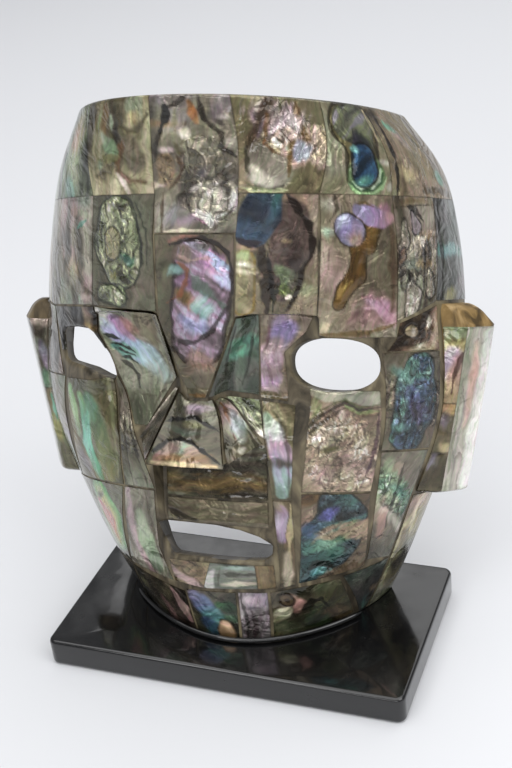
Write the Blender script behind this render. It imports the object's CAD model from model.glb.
# Looks of the shell mosaic mask: abalone tiles under poured clear resin on a cast resin face, glued to
# a slab of black lacquer. Sizes are millimetres and become metres where a mesh is made.
import math
import bpy
import numpy as np
from mathutils import Matrix, Vector


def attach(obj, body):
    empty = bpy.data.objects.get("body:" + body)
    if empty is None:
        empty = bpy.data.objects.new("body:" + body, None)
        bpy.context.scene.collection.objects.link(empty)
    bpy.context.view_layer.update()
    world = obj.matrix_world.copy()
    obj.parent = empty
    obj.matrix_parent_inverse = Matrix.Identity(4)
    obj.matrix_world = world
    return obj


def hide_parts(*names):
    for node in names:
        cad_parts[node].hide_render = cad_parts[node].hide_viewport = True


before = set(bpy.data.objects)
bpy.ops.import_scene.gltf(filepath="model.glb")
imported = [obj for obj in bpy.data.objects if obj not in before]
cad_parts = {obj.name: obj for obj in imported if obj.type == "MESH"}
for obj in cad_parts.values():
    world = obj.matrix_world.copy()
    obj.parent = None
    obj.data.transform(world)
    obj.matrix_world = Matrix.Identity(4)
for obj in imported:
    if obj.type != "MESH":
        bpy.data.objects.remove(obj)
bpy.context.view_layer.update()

# Sizes that the solids have too
SLAB = {"width": 120, "depth": 66.5, "height": 9.5, "corner": 3, "edge": 1.3}
LEAN = math.radians(24.5)
TILT = math.radians(3)
FOOT = (-1.6, -18.9)
MASK_HEIGHT = 166.5
GLUE_GAP = 0.3
TILE_THICKNESS = 1.6
INSIDE_DEPTH = 5.2
BEAD_RADIUS = 0.9
SECTION_HEIGHTS = [-12, 0, 20, 45, 75, 105, 130, 150, 168]
HALF_WIDTHS = [27, 37, 49, 60, 71, 71, 68, 62, 49]
FRONTS = [5, 0, -7, -14.5, -22, -30, -38.5, -46, -53]
REARS = [51, 42, 32, 25, 23, 24, 26.5, 27.5, 24]
NOSE = {"x": -2.2, "top": 80, "bottom": 65, "half_top": 6.5, "half_bottom": 13, "side": 8, "rise": 13.5}
BRIDGE = {"top": 104, "half_top": 12, "half_bottom": 2.7, "x_top": 1.5, "x_bottom": -0.5}
SOCKET = {"top": 106, "bottom": 66, "depth": 5, "wall": 6, "full": 28, "edge": 42}
LIP_RECESS = {"x": 0.5, "half": 18.8, "wall": 1.5,
              "heights": [28, 31, 40, 46, 65], "depths": [0, 1, 1.5, 3, 7]}
EYE_RIGHT = {"x": 39.6, "z": 90.6, "half_width": 13.1, "half_height": 8, "squareness": 2.4}
EYE_LEFT = [(-51.9, 98.4), (-50.6, 99.9), (-44, 100.4), (-39.6, 100), (-37.9, 98.8), (-35.8, 95.8),
            (-33.5, 91.9), (-32.4, 88.4), (-32, 85.2), (-32.9, 84.1), (-36.4, 85.2), (-40.7, 87.3),
            (-45.5, 88.4), (-50.3, 89), (-51.8, 90.8)]
MOUTH = [(-20.1, 38.5), (-18, 39.3), (-10, 39.4), (0, 39.2), (8, 38), (14, 36), (18, 33.4), (17.6, 30.4),
         (15, 28.5), (8, 28.1), (0, 28.1), (-15.6, 28.4), (-17, 29.6)]
EAR = {"bottom": 49.5, "seam": 78, "shoulder": 102, "top": 108.5, "root": 70,
       "ridge_in": 7.5, "ridge_ahead": 11.5,
       "edge_bottom": (73.4, 24), "edge_shoulder": (82.4, 17.2), "edge_top": (76.7, 14.3)}

# Where the photograph was taken from, in metres and degrees
CAMERA = {"place": (0.1474, -0.3250, 0.2925), "turn": 22.9, "rise": 29.3, "roll": -6.4,
          "focal_pixels": 1356, "picture_height": 768}

# Millimetres in a metre: a noise whose scale is MM / 7 has clouds of 7 millimetres
MM = 1000

# Sizes of the finer surfaces
CELL = 0.42
SEAM = 0.1
POUR = 0.3
RESIN_SUNK = 0.5
REAR_RIM = math.radians(89.9)
RIM_RADIUS = 0.9
RESIN_KEPT_BACK = 0.7
EAR_ROOT_DEPTH = 3.7
EAR_RIM = {"tile": 1.2, "resin": 3.2}
BEAD_ENDS = (-58, 64)
CORNER_POINTS = 13
RESIN_GRID = {"foot": -9, "rows": 186, "front_columns": 127, "side_columns": 42, "front_half": 44}
SHARP_ANGLE = math.radians(42)
LAYERS_SHOWN = 6


def show(name, data, place=None):
    """Puts a mesh, a light or the camera in the scene."""
    shown = bpy.data.objects.new(name, data)
    if place is not None:
        shown.matrix_world = place
    bpy.context.scene.collection.objects.link(shown)
    return shown


def place_camera():
    """Camera at the photograph's angle."""
    turn, rise, roll = (math.radians(CAMERA[key]) for key in ("turn", "rise", "roll"))
    back = Vector((math.sin(turn) * math.cos(rise), -math.cos(turn) * math.cos(rise), math.sin(rise)))
    right = Vector((math.cos(turn), math.sin(turn), 0))
    up = back.cross(right)
    right, up = (right * math.cos(roll) + up * math.sin(roll),
                 up * math.cos(roll) - right * math.sin(roll))
    data = bpy.data.cameras.new("camera")
    data.sensor_fit = "VERTICAL"
    data.lens = data.sensor_height = 36
    data.lens *= CAMERA["focal_pixels"] / CAMERA["picture_height"]
    data.clip_start = 0.01
    place = Matrix.Translation(CAMERA["place"]) @ Matrix((right, up, back)).transposed().to_4x4()
    bpy.context.scene.camera = show("camera", data, place)


# Small helpers
def ramp(t):
    """Straight ramp from 0 to 1, held at both ends."""
    return np.clip(t, 0, 1)


def soft(t):
    """Ramp from 0 to 1 that starts and ends level: 3 t squared less 2 t cubed."""
    t = np.clip(t, 0, 1)
    return t * t * (3 - 2 * t)


def mix(a, b, t):
    """Straight blend from a to b."""
    return a + (b - a) * t


def through(values, z):
    """Smooth curve through the section values: cubics whose slopes are the means of the chords."""
    heights = np.array(SECTION_HEIGHTS, float)
    values = np.array(values, float)
    chord = np.diff(values) / np.diff(heights)
    slope = np.concatenate([chord[:1], (chord[1:] + chord[:-1]) / 2, chord[-1:]])
    k = np.clip(np.searchsorted(heights, z, side="right") - 1, 0, len(heights) - 2)
    step = heights[k + 1] - heights[k]
    t = (z - heights[k]) / step
    return ((2 * t ** 3 - 3 * t ** 2 + 1) * values[k] + (t ** 3 - 2 * t ** 2 + t) * step * slope[k]
            + (3 * t ** 2 - 2 * t ** 3) * values[k + 1] + (t ** 3 - t ** 2) * step * slope[k + 1])


# The face's skin
def nose_rise(x, z):
    """Wedge that widens and rises from the bridge's tip down to a flat underside."""
    down = ramp((NOSE["top"] - z) / (NOSE["top"] - NOSE["bottom"]))
    half = mix(NOSE["half_top"], NOSE["half_bottom"], down)
    side = mix(1.5, NOSE["side"], down)
    across = ramp((half + side - np.abs(x - NOSE["x"])) / side)
    ends = ramp((z - NOSE["bottom"] + 1) / 1.2) * ramp((NOSE["top"] + 3 - z) / 3)
    return (1 + (NOSE["rise"] - 1) * down) * across * ends


def socket_drop(x, z):
    """Hollows on both sides of the tapering bridge, with soft walls and a stepped top."""
    up = ramp((z - NOSE["top"]) / (BRIDGE["top"] - NOSE["top"]))
    half = mix(BRIDGE["half_bottom"], BRIDGE["half_top"], up)
    middle = mix(BRIDGE["x_bottom"], BRIDGE["x_top"], up)
    inner = soft((np.abs(x - middle) - half) / SOCKET["wall"])
    outer = 1 - soft((np.abs(x) - SOCKET["full"]) / (SOCKET["edge"] - SOCKET["full"]))
    ends = soft((SOCKET["top"] - z) / 3) * soft((z - SOCKET["bottom"]) / 14)
    return SOCKET["depth"] * inner * outer * ends


def lip_drop(x, z):
    """Box-shaped recess between the cheeks, deeper towards the nose's underside."""
    across = ramp((LIP_RECESS["half"] - np.abs(x - LIP_RECESS["x"])) / LIP_RECESS["wall"])
    top = ramp((NOSE["bottom"] + 0.2 - z) / 1.2)
    return np.interp(z, LIP_RECESS["heights"], LIP_RECESS["depths"]) * across * top


def relief(x, z):
    """How far the face stands ahead of its smooth form."""
    return nose_rise(x, z) - socket_drop(x, z) - lip_drop(x, z)


def lowest_relief(x, z, reach):
    """Lowest relief of nine spots within the reach."""
    steps = (-reach, 0, reach)
    return np.min([relief(x + dx, z + dz) for dx in steps for dz in steps], axis=0)


def resin_relief(x, z):
    """Resin between the tiles: it keeps back a little from the steps of the relief."""
    return lowest_relief(x, z, RESIN_KEPT_BACK)


def inside_relief(x, z):
    """Inside of the face: it follows the hollows and only a little of the nose."""
    return np.minimum(np.minimum(lowest_relief(x, z, 8), lowest_relief(x, z, 4)), 3)


def skin(angle, z, depth=0.0, relief_at=relief):
    """Point of the skin: half a superposed ellipse round the face at each height, x = a sin, y from
    front to rear by a cosine, moved ahead by the relief and sunk square to the smooth form."""
    angle = np.clip(angle, -REAR_RIM, REAR_RIM)
    a = through(HALF_WIDTHS, z)
    rear = through(REARS, z)
    reach = rear - through(FRONTS, z)
    x = a * np.sin(angle)
    y = rear - reach * np.cos(angle)
    out_x, out_y = reach * np.sin(angle), -a * np.cos(angle)
    length = np.hypot(out_x, out_y)
    rise = relief_at(x, z)
    return (x - out_x / length * depth, y - rise * math.cos(LEAN) - out_y / length * depth,
            z - rise * math.sin(LEAN))


def in_place(x, y, z):
    """Turns a point of the mask and sets it on the slab: tilt about y, lean about x, then the foot."""
    x, z = x * math.cos(TILT) - z * math.sin(TILT), x * math.sin(TILT) + z * math.cos(TILT)
    y, z = (y * math.cos(LEAN) + z * math.sin(LEAN), z * math.cos(LEAN) - y * math.sin(LEAN))
    return np.stack([x + FOOT[0], y + FOOT[1], z + SLAB["height"]], axis=-1)


def outline_distance(x, z, outline):
    """Distance outside a closed outline whose points run clockwise, below zero inside it."""
    nearest = np.full(np.shape(x), 1e3)
    inside = np.zeros(np.shape(x), bool)
    for (ax, az), (bx, bz) in zip(outline, outline[1:] + outline[:1]):
        run_x, run_z = bx - ax, bz - az
        part = ramp(((x - ax) * run_x + (z - az) * run_z) / (run_x ** 2 + run_z ** 2))
        nearest = np.minimum(nearest, np.hypot(x - ax - part * run_x, z - az - part * run_z))
        if az != bz:
            inside ^= ((az > z) != (bz > z)) & (x < ax + (z - az) / run_z * run_x)
    return np.where(inside, -nearest, nearest)


def hole_distance(x, z):
    """Distance outside the nearest of the eye holes and the mouth, below zero inside one."""
    across = np.abs(x - EYE_RIGHT["x"]) / EYE_RIGHT["half_width"]
    up = np.abs(z - EYE_RIGHT["z"]) / EYE_RIGHT["half_height"]
    power = EYE_RIGHT["squareness"]
    oval = ((across ** power + up ** power) ** (1 / power) - 1) * EYE_RIGHT["half_height"]
    return np.minimum(np.minimum(oval, outline_distance(x, z, EYE_LEFT)), outline_distance(x, z, MOUTH))


# Patches of the skin: rows of spots, each an angle, a height, and u and v across and down the patch
def grid_faces(rows, columns):
    """Two triangles for each cell of a grid whose rows run down and columns right, seen from outside."""
    spot = np.arange(rows * columns).reshape(rows, columns)
    a, b, c, d = spot[:-1, :-1], spot[:-1, 1:], spot[1:, 1:], spot[1:, :-1]
    return np.concatenate([np.stack([a, c, b], -1).reshape(-1, 3), np.stack([a, d, c], -1).reshape(-1, 3)])


def clipped(spots, faces, level):
    """The patch where the level is above zero. A triangle that crosses zero is cut along the line
    between the zero points of its edges."""
    level = np.where(np.abs(level) < 1e-4, 1e-4, level)
    kept = level[faces] > 0
    count = kept.sum(axis=1)
    whole = faces[count == 3]
    corner_faces, cut = [], []
    for wanted in (1, 2):
        some = faces[count == wanted]
        lone = np.argmax(kept[count == wanted] == (wanted == 1), axis=1)
        order = (lone[:, None] + np.arange(3)) % 3
        corner_faces.append(np.take_along_axis(some, order, axis=1))
        cut.append(corner_faces[-1][:, [0, 1, 0, 2]].reshape(-1, 2))
    edges, which = np.unique(np.sort(np.concatenate(cut), axis=1), axis=0, return_inverse=True)
    which = which.reshape(-1) + len(spots)
    t = (level[edges[:, 0]] / (level[edges[:, 0]] - level[edges[:, 1]]))[:, None]
    new_spots = mix(spots[edges[:, 0]], spots[edges[:, 1]], t)
    one, two = corner_faces
    first = which[:2 * len(one)].reshape(-1, 2)
    second = which[2 * len(one):].reshape(-1, 2)
    faces = np.concatenate([
        whole,
        np.stack([one[:, 0], first[:, 0], first[:, 1]], -1),
        np.stack([second[:, 0], two[:, 1], two[:, 2]], -1),
        np.stack([second[:, 0], two[:, 2], second[:, 1]], -1),
    ])
    used, faces = np.unique(faces, return_inverse=True)
    return np.concatenate([spots, new_spots])[used], faces.reshape(-1, 3)


def straight_behind(angle, z, depth, relief_at):
    """Spots for the far side of a wall: straight behind near a hole, so that its walls run straight
    through, and square behind elsewhere. The straight ones are found by closing in on x and z."""
    x, _, up = skin(angle, z)
    near = 1 - soft(hole_distance(x, up) / 6)
    a, h = angle.copy(), z.copy()
    for _ in range(8):
        x_now, _, up_now = skin(a, h, depth, relief_at)
        a = a + (x - x_now) / (through(HALF_WIDTHS, h) * np.maximum(np.cos(a), 0.3))
        h = h + up - up_now
    return mix(angle, a, near), mix(z, h, near)


def walled(front, back, faces):
    """Closed solid from a front and a back with the same faces, with a wall along every open edge."""
    count = len(front)
    edges = np.concatenate([faces[:, [0, 1]], faces[:, [1, 2]], faces[:, [2, 0]]])
    key = edges[:, 0] * count + edges[:, 1]
    reverse = edges[:, 1] * count + edges[:, 0]
    i, j = edges[~np.isin(key, reverse)].T
    walls = np.concatenate([np.stack([j, i, i + count], -1), np.stack([j, i + count, j + count], -1)])
    return np.concatenate([front, back]), np.concatenate([faces, faces[:, ::-1] + count, walls])


def wall_of(angle, up, faces, depth, thickness, front_relief=relief, back_relief=relief):
    """Closed wall between a patch sunk by the depth and its far side, which keeps the thickness."""
    front = above_glue(in_place(*skin(angle, up, depth, front_relief)))
    behind = straight_behind(angle, up, thickness, back_relief)
    back = above_glue(in_place(*skin(*behind, thickness, back_relief)))
    return walled(front, back, faces)


def above_glue(points):
    """Presses what would run below the glue line up to it."""
    points[:, 2] = np.maximum(points[:, 2], SLAB["height"] + GLUE_GAP)
    return points


def at(x, z):
    """Spot named by x across the front and a height."""
    return (math.asin(max(-1, min(1, x / float(through(HALF_WIDTHS, np.array(float(z))))))), z)


def around(degrees, z):
    """Spot named by degrees round from the front and a height."""
    return (math.radians(degrees), z)


def tile_patch(rungs):
    """Patch between rungs, each a left and a right spot, with half a seam left off on every side.
    Gives the spots, the faces, where the rungs lie from 0 to 1, their widths and the height."""
    rungs = np.array(rungs, float)
    ends = in_place(*skin(rungs[..., 0], rungs[..., 1]))
    widths = np.linalg.norm(ends[:, 1] - ends[:, 0], axis=1)
    drops = np.linalg.norm(np.diff(ends.mean(axis=1), axis=0), axis=1)
    height = drops.sum()
    rows = int(height / CELL) + 3
    columns = int(widths.max() / CELL) + 3
    v = np.linspace(SEAM / 2 / height, 1 - SEAM / 2 / height, rows)[:, None]
    along = v[:, 0]
    steps = np.concatenate([[0], np.cumsum(drops) / height])
    left = np.stack([np.interp(along, steps, rungs[:, 0, k]) for k in (0, 1)], -1)
    right = np.stack([np.interp(along, steps, rungs[:, 1, k]) for k in (0, 1)], -1)
    inset = SEAM / 2 / np.maximum(np.interp(along, steps, widths), 6 * SEAM)[:, None]
    u = inset + (1 - 2 * inset) * np.linspace(0, 1, columns)[None]
    spots = left[:, None] + (right - left)[:, None] * u[..., None]
    spots = np.concatenate([spots, u[..., None], np.broadcast_to(v, u.shape)[..., None]], -1)
    return spots.reshape(-1, 4), grid_faces(rows, columns), steps, widths, height


# Patterns, all worked out from places in millimetres
def lattice(i, j, seed):
    """Repeatable value from 0 to 1 for a whole-number spot: the fraction of a large sine."""
    value = np.sin(i * 127.1 + j * 311.7 + seed * 74.7) * 43758.5453
    return value - np.floor(value)


def cloud(x, y, seed):
    """Smooth noise from 0 to 1: the lattice blended softly between whole-number spots."""
    i, j = np.floor(x), np.floor(y)
    s, t = soft(x - i), soft(y - j)
    low = mix(lattice(i, j, seed), lattice(i + 1, j, seed), s)
    high = mix(lattice(i, j + 1, seed), lattice(i + 1, j + 1, seed), s)
    return mix(low, high, t)


def clouds(x, y, seed, octaves):
    """Clouds on clouds: each next one is half as large and half as strong."""
    total, weight = 0.0, 0.0
    for k in range(octaves):
        total = total + cloud(x * 2 ** k + 17 * k, y * 2 ** k - 9 * k, seed + k) / 2 ** k
        weight += 1 / 2 ** k
    return total / weight


def cells(x, y, seed):
    """Value from 0 to 1 of the nearest of scattered points, of which each unit square has one."""
    i, j = np.floor(x), np.floor(y)
    nearest = np.full(x.shape, 9.0)
    own = np.zeros(x.shape)
    for di in (-1, 0, 1):
        for dj in (-1, 0, 1):
            px = i + di + lattice(i + di, j + dj, seed)
            py = j + dj + lattice(i + di, j + dj, seed + 31)
            distance = np.hypot(x - px, y - py)
            closer = distance < nearest
            own = np.where(closer, lattice(i + di, j + dj, seed + 57), own)
            nearest = np.where(closer, distance, nearest)
    return own


def linear(code):
    """Linear colour of an sRGB hex value."""
    channels = np.array([int(code[k:k + 2], 16) for k in (0, 2, 4)]) / 255
    return np.where(channels <= 0.04045, channels / 12.92, ((channels + 0.055) / 1.055) ** 2.4)


def shades(codes, value):
    """Colours picked along a row of hex values by a value from 0 to 1."""
    colours = np.array([linear(code) for code in codes.split()])
    place = np.clip(value, 0, 1) * (len(colours) - 1)
    return np.stack([np.interp(place, np.arange(len(colours)), colours[:, k]) for k in range(3)], -1)


# Shell colours, from the dark layers of the shell to its lit mother-of-pearl
OLIVE = "221d12 4c4530 6b6349 8a8263 aaa283 d2cbb0"
GREY = "2a2823 4f4c45 6f6b61 8d897e aeaa9f d8d4ca"
MOSS = "1e2118 434838 626a54 828a70 a3ab90 cdd3bb"
PINK = "3f3032 6f525b 96727f b791a0 d2b2be eedae0"
VIOLET = "2c2638 504668 756891 998cb5 bbb0d0 dfd8ea"
TEAL = "14241f 2a5146 437969 699c8a 96bfac c8dfd0"
DARK = "0d0b08 1c1812 302a21 474034 635b4a 857c68"
LINE = "1d140c"


class Shell:
    """Places, colour, crumple and height of a tile while it is painted."""

    def __init__(self, spots, steps, widths, height, seed):
        self.u, self.v = spots[:, 2], spots[:, 3]
        self.steps, self.widths, self.height = steps, widths, height
        self.local_width = np.interp(self.v, steps, widths)
        self.seed = seed
        self.p, self.q = self.place(self.u, self.v)
        self.bend_p, self.bend_q = (self.waver(9, 3, k) * 6 + self.waver(2.4, 3, k + 2) * 1.6
                                    for k in (0, 1))
        self.colour = np.zeros((len(spots), 3))
        self.crumb = np.zeros(len(spots))
        self.plain = np.zeros(len(spots))
        self.rise = self.waver(7, 2, 8) * 0.1
        self.layer = np.zeros(len(spots))
        self.flow = np.zeros((len(spots), 3))

    def place(self, u, v):
        """Millimetres to the right and up from the middle of the tile."""
        return (u - 0.5) * np.interp(v, self.steps, self.widths), (0.5 - v) * self.height

    def waver(self, size, octaves, which):
        """Clouds from about -0.5 to 0.5 with a size in millimetres, another set for each number."""
        return clouds(self.p / size, self.q / size, self.seed + 13 * which, octaves) - 0.5

    def turned(self, degrees, bend):
        """Distances along and across a direction, counted anticlockwise from the right."""
        turn = math.radians(degrees)
        p, q = self.p + self.bend_p * bend, self.q + self.bend_q * bend
        return p * math.cos(turn) + q * math.sin(turn), q * math.cos(turn) - p * math.sin(turn)

    def cover(self, colour, share):
        """Lays a colour over the tile by a share at each spot."""
        self.colour = mix(self.colour, colour, np.asarray(share)[:, None])

    def streaks(self, which):
        """Fine streaks along the grain, from about -0.5 to 0.5."""
        return clouds(self.flow[:, 0] / 6, self.flow[:, 1] / 1.1, self.seed + which, 2) - 0.5

    def within(self, path, bend):
        """Distance inside a path, smooth where its parts meet, and how far along it, from 0 to 1, a spot
        lies. The path is points in hundredths of the tile's width and height, each with a radius."""
        p, q = self.p + self.bend_p * bend, self.q + self.bend_q * bend
        stops = [(*self.place(u / 100, v / 100), radius) for u, v, radius in path]
        inside = np.full(p.shape, -200.0)
        weighed, weights = 0.0, 1e-30
        for k, ((p0, q0, r0), (p1, q1, r1)) in enumerate(zip(stops[:-1], stops[1:])):
            run = max((p1 - p0) ** 2 + (q1 - q0) ** 2, 1e-6)
            t = ramp(((p - p0) * (p1 - p0) + (q - q0) * (q1 - q0)) / run)
            part = mix(r0, r1, t) - np.hypot(p - mix(p0, p1, t), q - mix(q0, q1, t))
            inside = np.logaddexp(inside * 2.5, part * 2.5) / 2.5
            weight = np.exp(part * 1.5)
            weighed, weights = weighed + weight * (k + t), weights + weight
        return inside, weighed / weights / (len(stops) - 1)

    def inside(self, u, v, wide, high, turn, bend):
        """Distance inside an oval whose middle is at hundredths u and v, bent with the layers."""
        cos, sin = math.cos(math.radians(turn)), math.sin(math.radians(turn))
        middle_p, middle_q = self.place(u / 100, v / 100)
        bend = bend * min(1.0, min(wide, high) / 6)
        dp, dq = self.p - middle_p + self.bend_p * bend, self.q - middle_q + self.bend_q * bend
        a, b = dp * cos + dq * sin, dq * cos - dp * sin
        return (1 - np.hypot(a / (wide / 2), b / (high / 2))) * min(wide, high) / 2


def tints(shell, colours, contrast=1.0, grain=None):
    """Colours of an area picked by the height of the layers there, or by streaks along a grain."""
    if grain is None:
        value = 0.6 * (shell.layer - 0.5) + 0.4 * shell.waver(4, 2, 6)
    else:
        a, b = shell.turned(grain, 0.5)
        value = clouds(a / 9, b / 2.2, shell.seed + 5, 3) - 0.5
    return shades(colours, value * 2.4 * contrast + 0.5)


def wash(colours, grain=85, along=13, across=5, contrast=1.0, play=0.3, hues=(PINK, TEAL)):
    """Mother-of-pearl: layers as clouds drawn out along the grain and bent by larger clouds. Two hues
    play over the lighter layers, each where its own clouds are high."""
    def paint(shell):
        a, b = shell.turned(grain, 0.9)
        shell.flow = np.stack([a, b, np.full(len(a), float(shell.seed))], -1)
        shell.layer = clouds(a / along, b / across, shell.seed, 3)
        value = (shell.layer - 0.5) * 2.1 * contrast + 0.5
        shell.colour = shades(colours, value)
        for which, hue in enumerate(hues):
            share = soft((shell.waver(10, 2, 20 + which) - 0.02) / 0.2) * soft(value * 1.6)
            shell.cover(shades(hue, value * 0.8 + 0.1), share * play)
    return paint


def patch(u, v, wide, high, turn, colours, blur=1.6, strength=0.9, bend=0.8, contrast=1.0, grain=None):
    """Oval area of other colours with a soft, uneven edge."""
    def paint(shell):
        uneven = shell.waver(3.5, 2, 50) * 0.35 + shell.streaks(70) * 0.45
        inside = shell.inside(u, v, wide, high, turn, bend) + uneven * min(wide, high)
        share = soft(inside / (blur * 1.8) + 0.4) * strength
        lit = 1 + 0.9 * (shell.layer - 0.5) + 0.3 * shell.streaks(71)
        shell.cover(tints(shell, colours, contrast, grain) * lit[:, None], share)
    return paint


def ribbon(path, colours, blur=1.6, bend=0.3, strength=0.95, inwards=0.0, dome=0.1):
    """Play of colours in a fold or a blister: they run along its path, or from its edge inwards."""
    def paint(shell):
        inside, along = shell.within(path, bend)
        deepest = max(radius for _, _, radius in path)
        value = mix(along, ramp(inside / deepest), inwards)
        value = value + 0.22 * shell.streaks(72) + 0.1 * shell.waver(3, 2, 52)
        lit = 1 + 0.6 * (shell.layer - 0.5) + 0.35 * shell.streaks(73)
        share = soft(inside / blur + 0.5) * strength
        shell.cover(shades(colours, value) * lit[:, None], share)
        shell.plain = np.maximum(shell.plain, share)
        shell.rise = shell.rise + dome * soft(inside / 2.5)
    return paint


def blister(path, colours, line=0.6, line_colour=LINE, dome=0.2, bend=0.15, crumbs=0.0, blur=0.5,
            grain=None, rim=0.0):
    """Blister of the shell: its own colours inside the edge of a dark layer, raised a little. Its path
    is places, each with a radius. A rim darkens it towards its edge."""
    def paint(shell):
        d, _ = shell.within(path, bend)
        inner = tints(shell, colours, 1.0, grain) * (1 + 0.3 * shell.streaks(71))[:, None]
        inner = inner * (1 - rim * soft(1 - d / 2.2))[:, None]
        shell.cover(inner, soft(d / blur + 0.5))
        if crumbs:
            crumple(shell, soft(d / 1.2) * crumbs, 1.9)
        shell.rise = shell.rise + dome * soft(d / 2.5)
        if line:
            thick = line * (1 + 2.2 * shell.waver(4, 2, 7))
            edge = soft((thick / 2 + 0.3 - np.abs(d)) / 0.4)
            shell.cover(linear(line_colour), edge * 0.85)
            shell.rise = shell.rise - 0.06 * edge
    return paint


def crumple(shell, share, size):
    """Crumpled layers like pressed foil: flakes with their own brightness, crossed by winding folds, each
    dark with a lit edge beside it. The material wrinkles them by the crumb."""
    x = (shell.p + shell.waver(6, 2, 30) * 5) / size
    y = (shell.q + shell.waver(6, 2, 31) * 5) / (size * 1.5)
    own = cells(x / 1.3, y / 1.3, shell.seed + 3)
    shell.colour = shell.colour * mix(1, 0.68 + 0.62 * own, share)[:, None]
    for k, (scale, strength) in enumerate(((2.1, 1.0), (1.1, 0.6))):
        fold = clouds(x / scale, y / scale, shell.seed + 9 + k, 2) - 0.5
        lit_here = soft(shell.waver(4, 2, 33 + k) * 6 + 0.35)
        shell.cover(linear("241b12"), soft((0.075 - np.abs(fold)) / 0.06) * share * strength * 0.8)
        lit = soft((0.075 - np.abs(fold - 0.13)) / 0.06) * lit_here
        shell.cover(np.clip(shell.colour * 2.8 + 0.08, 0, 0.95), lit * share * strength * 0.9)
    shell.crumb = np.maximum(shell.crumb, share)
    shell.rise = shell.rise + share * 0.12 * (own - 0.5)


def crumbled(u, v, wide, high, turn=0, strength=1.0, size=1.9, blur=2.5):
    """Area of crumpled layers."""
    def paint(shell):
        inside = shell.inside(u, v, wide, high, turn, 0.7) + shell.waver(3.5, 2, 51) * 3
        crumple(shell, soft(inside / blur + 0.4) * strength, size)
    return paint


def stroke(points, width, colour, bend=0.35, strength=0.85, sunk=0.06, blur=0.45):
    """Line of a dark layer or a lit edge through its points, bent with the layers, its width changing
    along it and less at its ends."""
    (u0, v0), (u1, v1) = points[:2]
    points = [points[0], ((u0 + u1) / 2, (v0 + v1) / 2)] + points[1:]
    radii = [width * 0.2] + [width * 0.5] * (len(points) - 2) + [width * 0.2]

    def paint(shell):
        path = [(u, v, radius) for (u, v), radius in zip(points, radii)]
        inside = shell.within(path, bend)[0] + width * 0.9 * shell.waver(3, 2, 7)
        share = soft((inside + 0.55 * blur) / blur)
        shell.cover(linear(colour), share * strength)
        shell.rise = shell.rise - sunk * share
    return paint


def show_layers(shell):
    """Ends of the layers, which polishing lays bare like contour lines: each one darkens towards its
    edge, and there a dark line comes and goes."""
    part = shell.layer * LAYERS_SHOWN
    part = part - np.floor(part)
    strength = 0.5 * (1 - 0.6 * shell.crumb) * (1 - 0.8 * shell.plain)
    shell.colour = shell.colour * (1 + strength * 0.5 * (part - 0.5))[:, None]
    shown = soft(shell.waver(6, 2, 40) * 4 + 0.2)
    shell.cover(linear("33281a"), soft((0.26 - part) / 0.22) * shown * strength * 0.8)


def enrich(colour):
    """Richer colours, the pale ones most, because the coat's shine greys them."""
    grey = (colour @ [0.21, 0.72, 0.07])[:, None]
    rich = (colour.max(axis=1) - colour.min(axis=1)) / np.maximum(colour.max(axis=1), 0.001)
    return np.clip(grey + (colour - grey) * mix(1.4, 0.85, soft(rich / 0.75))[:, None], 0, 1)


# What each shell tile shows. Places are hundredths of its width and its height, from the upper left,
# other lengths millimetres, turns degrees, and colours rows of hex values from dark to light or along.
PAINT = {}


def shows(tile, *layers):
    """Notes what a tile shows, in the order in which it is painted."""
    PAINT[tile] = layers


shows(
    "top_tile_left_rear",
    wash(MOSS, 80))
shows(
    "top_tile_left_side",
    wash(MOSS, 82, 16, 3.5),
    patch(70, 40, 6, 20, 80, PINK, strength=0.4))
shows(
    "top_tile_left_temple",
    wash(MOSS, 80, 18, 4, 0.8, play=0.1),
    patch(50, 22, 7, 8, 80, "8f8850 bcae78", 2.5, 0.7),
    patch(55, 38, 8, 10, 80, "a08078 c0a098 c8b0a0", 3, 0.85),
    patch(50, 66, 8, 12, 80, "909a84 b0b8a0", 2.5, 0.8),
    patch(40, 90, 7, 8, 75, "6f9a8c 9cbcb0", 2),
    stroke([(78, 0), (98, 30)], 2, "57574c", strength=0.7, blur=1.2),
    stroke([(8, 50), (4, 80)], 1, "7fae9c", strength=0.7))
shows(
    "top_tile_left",
    wash(OLIVE, 84, 16, 5, 1, 0.1),
    patch(80, 10, 10, 8, 80, "8a907c a4ab98", 1.2),
    stroke([(36, 6), (33, 20), (36, 38)], 2.2, "86683c", blur=1, strength=0.8),
    stroke([(30, 12), (22, 30)], 0.9, "a8b48c", strength=0.7, blur=0.8),
    stroke([(45, 18), (46, 34)], 1.4, "b4c4ac", strength=0.7, blur=0.8),
    patch(78, 22, 4, 4, 90, "c4b070 e0d09c", 1.4, 0.8),
    stroke([(58, 8), (60, 28), (70, 37), (81, 35), (98, 20)], 1.2, "4b4424", blur=0.9),
    blister([(70, 47, 2.6), (78, 66, 3.4)], "4b463a 6b6352 7d7462", 0, blur=1.6),
    stroke([(62, 42), (53, 60), (52, 74), (66, 85), (90, 87)], 1.8, "6a4a20", blur=1.1),
    ribbon([(30, 36, 0.8), (42, 50, 2), (50, 56, 1)], "a0a898 8ca484 7c9870", 1.2),
    patch(25, 67, 3.6, 3.4, 0, "98a48c", 1),
    stroke([(24, 60), (40, 62), (54, 60)], 1.6, "76743a", blur=0.8, strength=0.8),
    stroke([(12, 80), (26, 74), (40, 78)], 0.8, "4c4a3c", strength=0.6, blur=0.8),
    ribbon([(50, 79, 0.4), (58, 88, 0.9), (64, 100, 0.6)], "d8ccc4 f4ece4 dcd4c8", 1.2),
    stroke([(55, 77), (67, 88)], 0.6, "b88c88", 0.1, 0.6))
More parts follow.
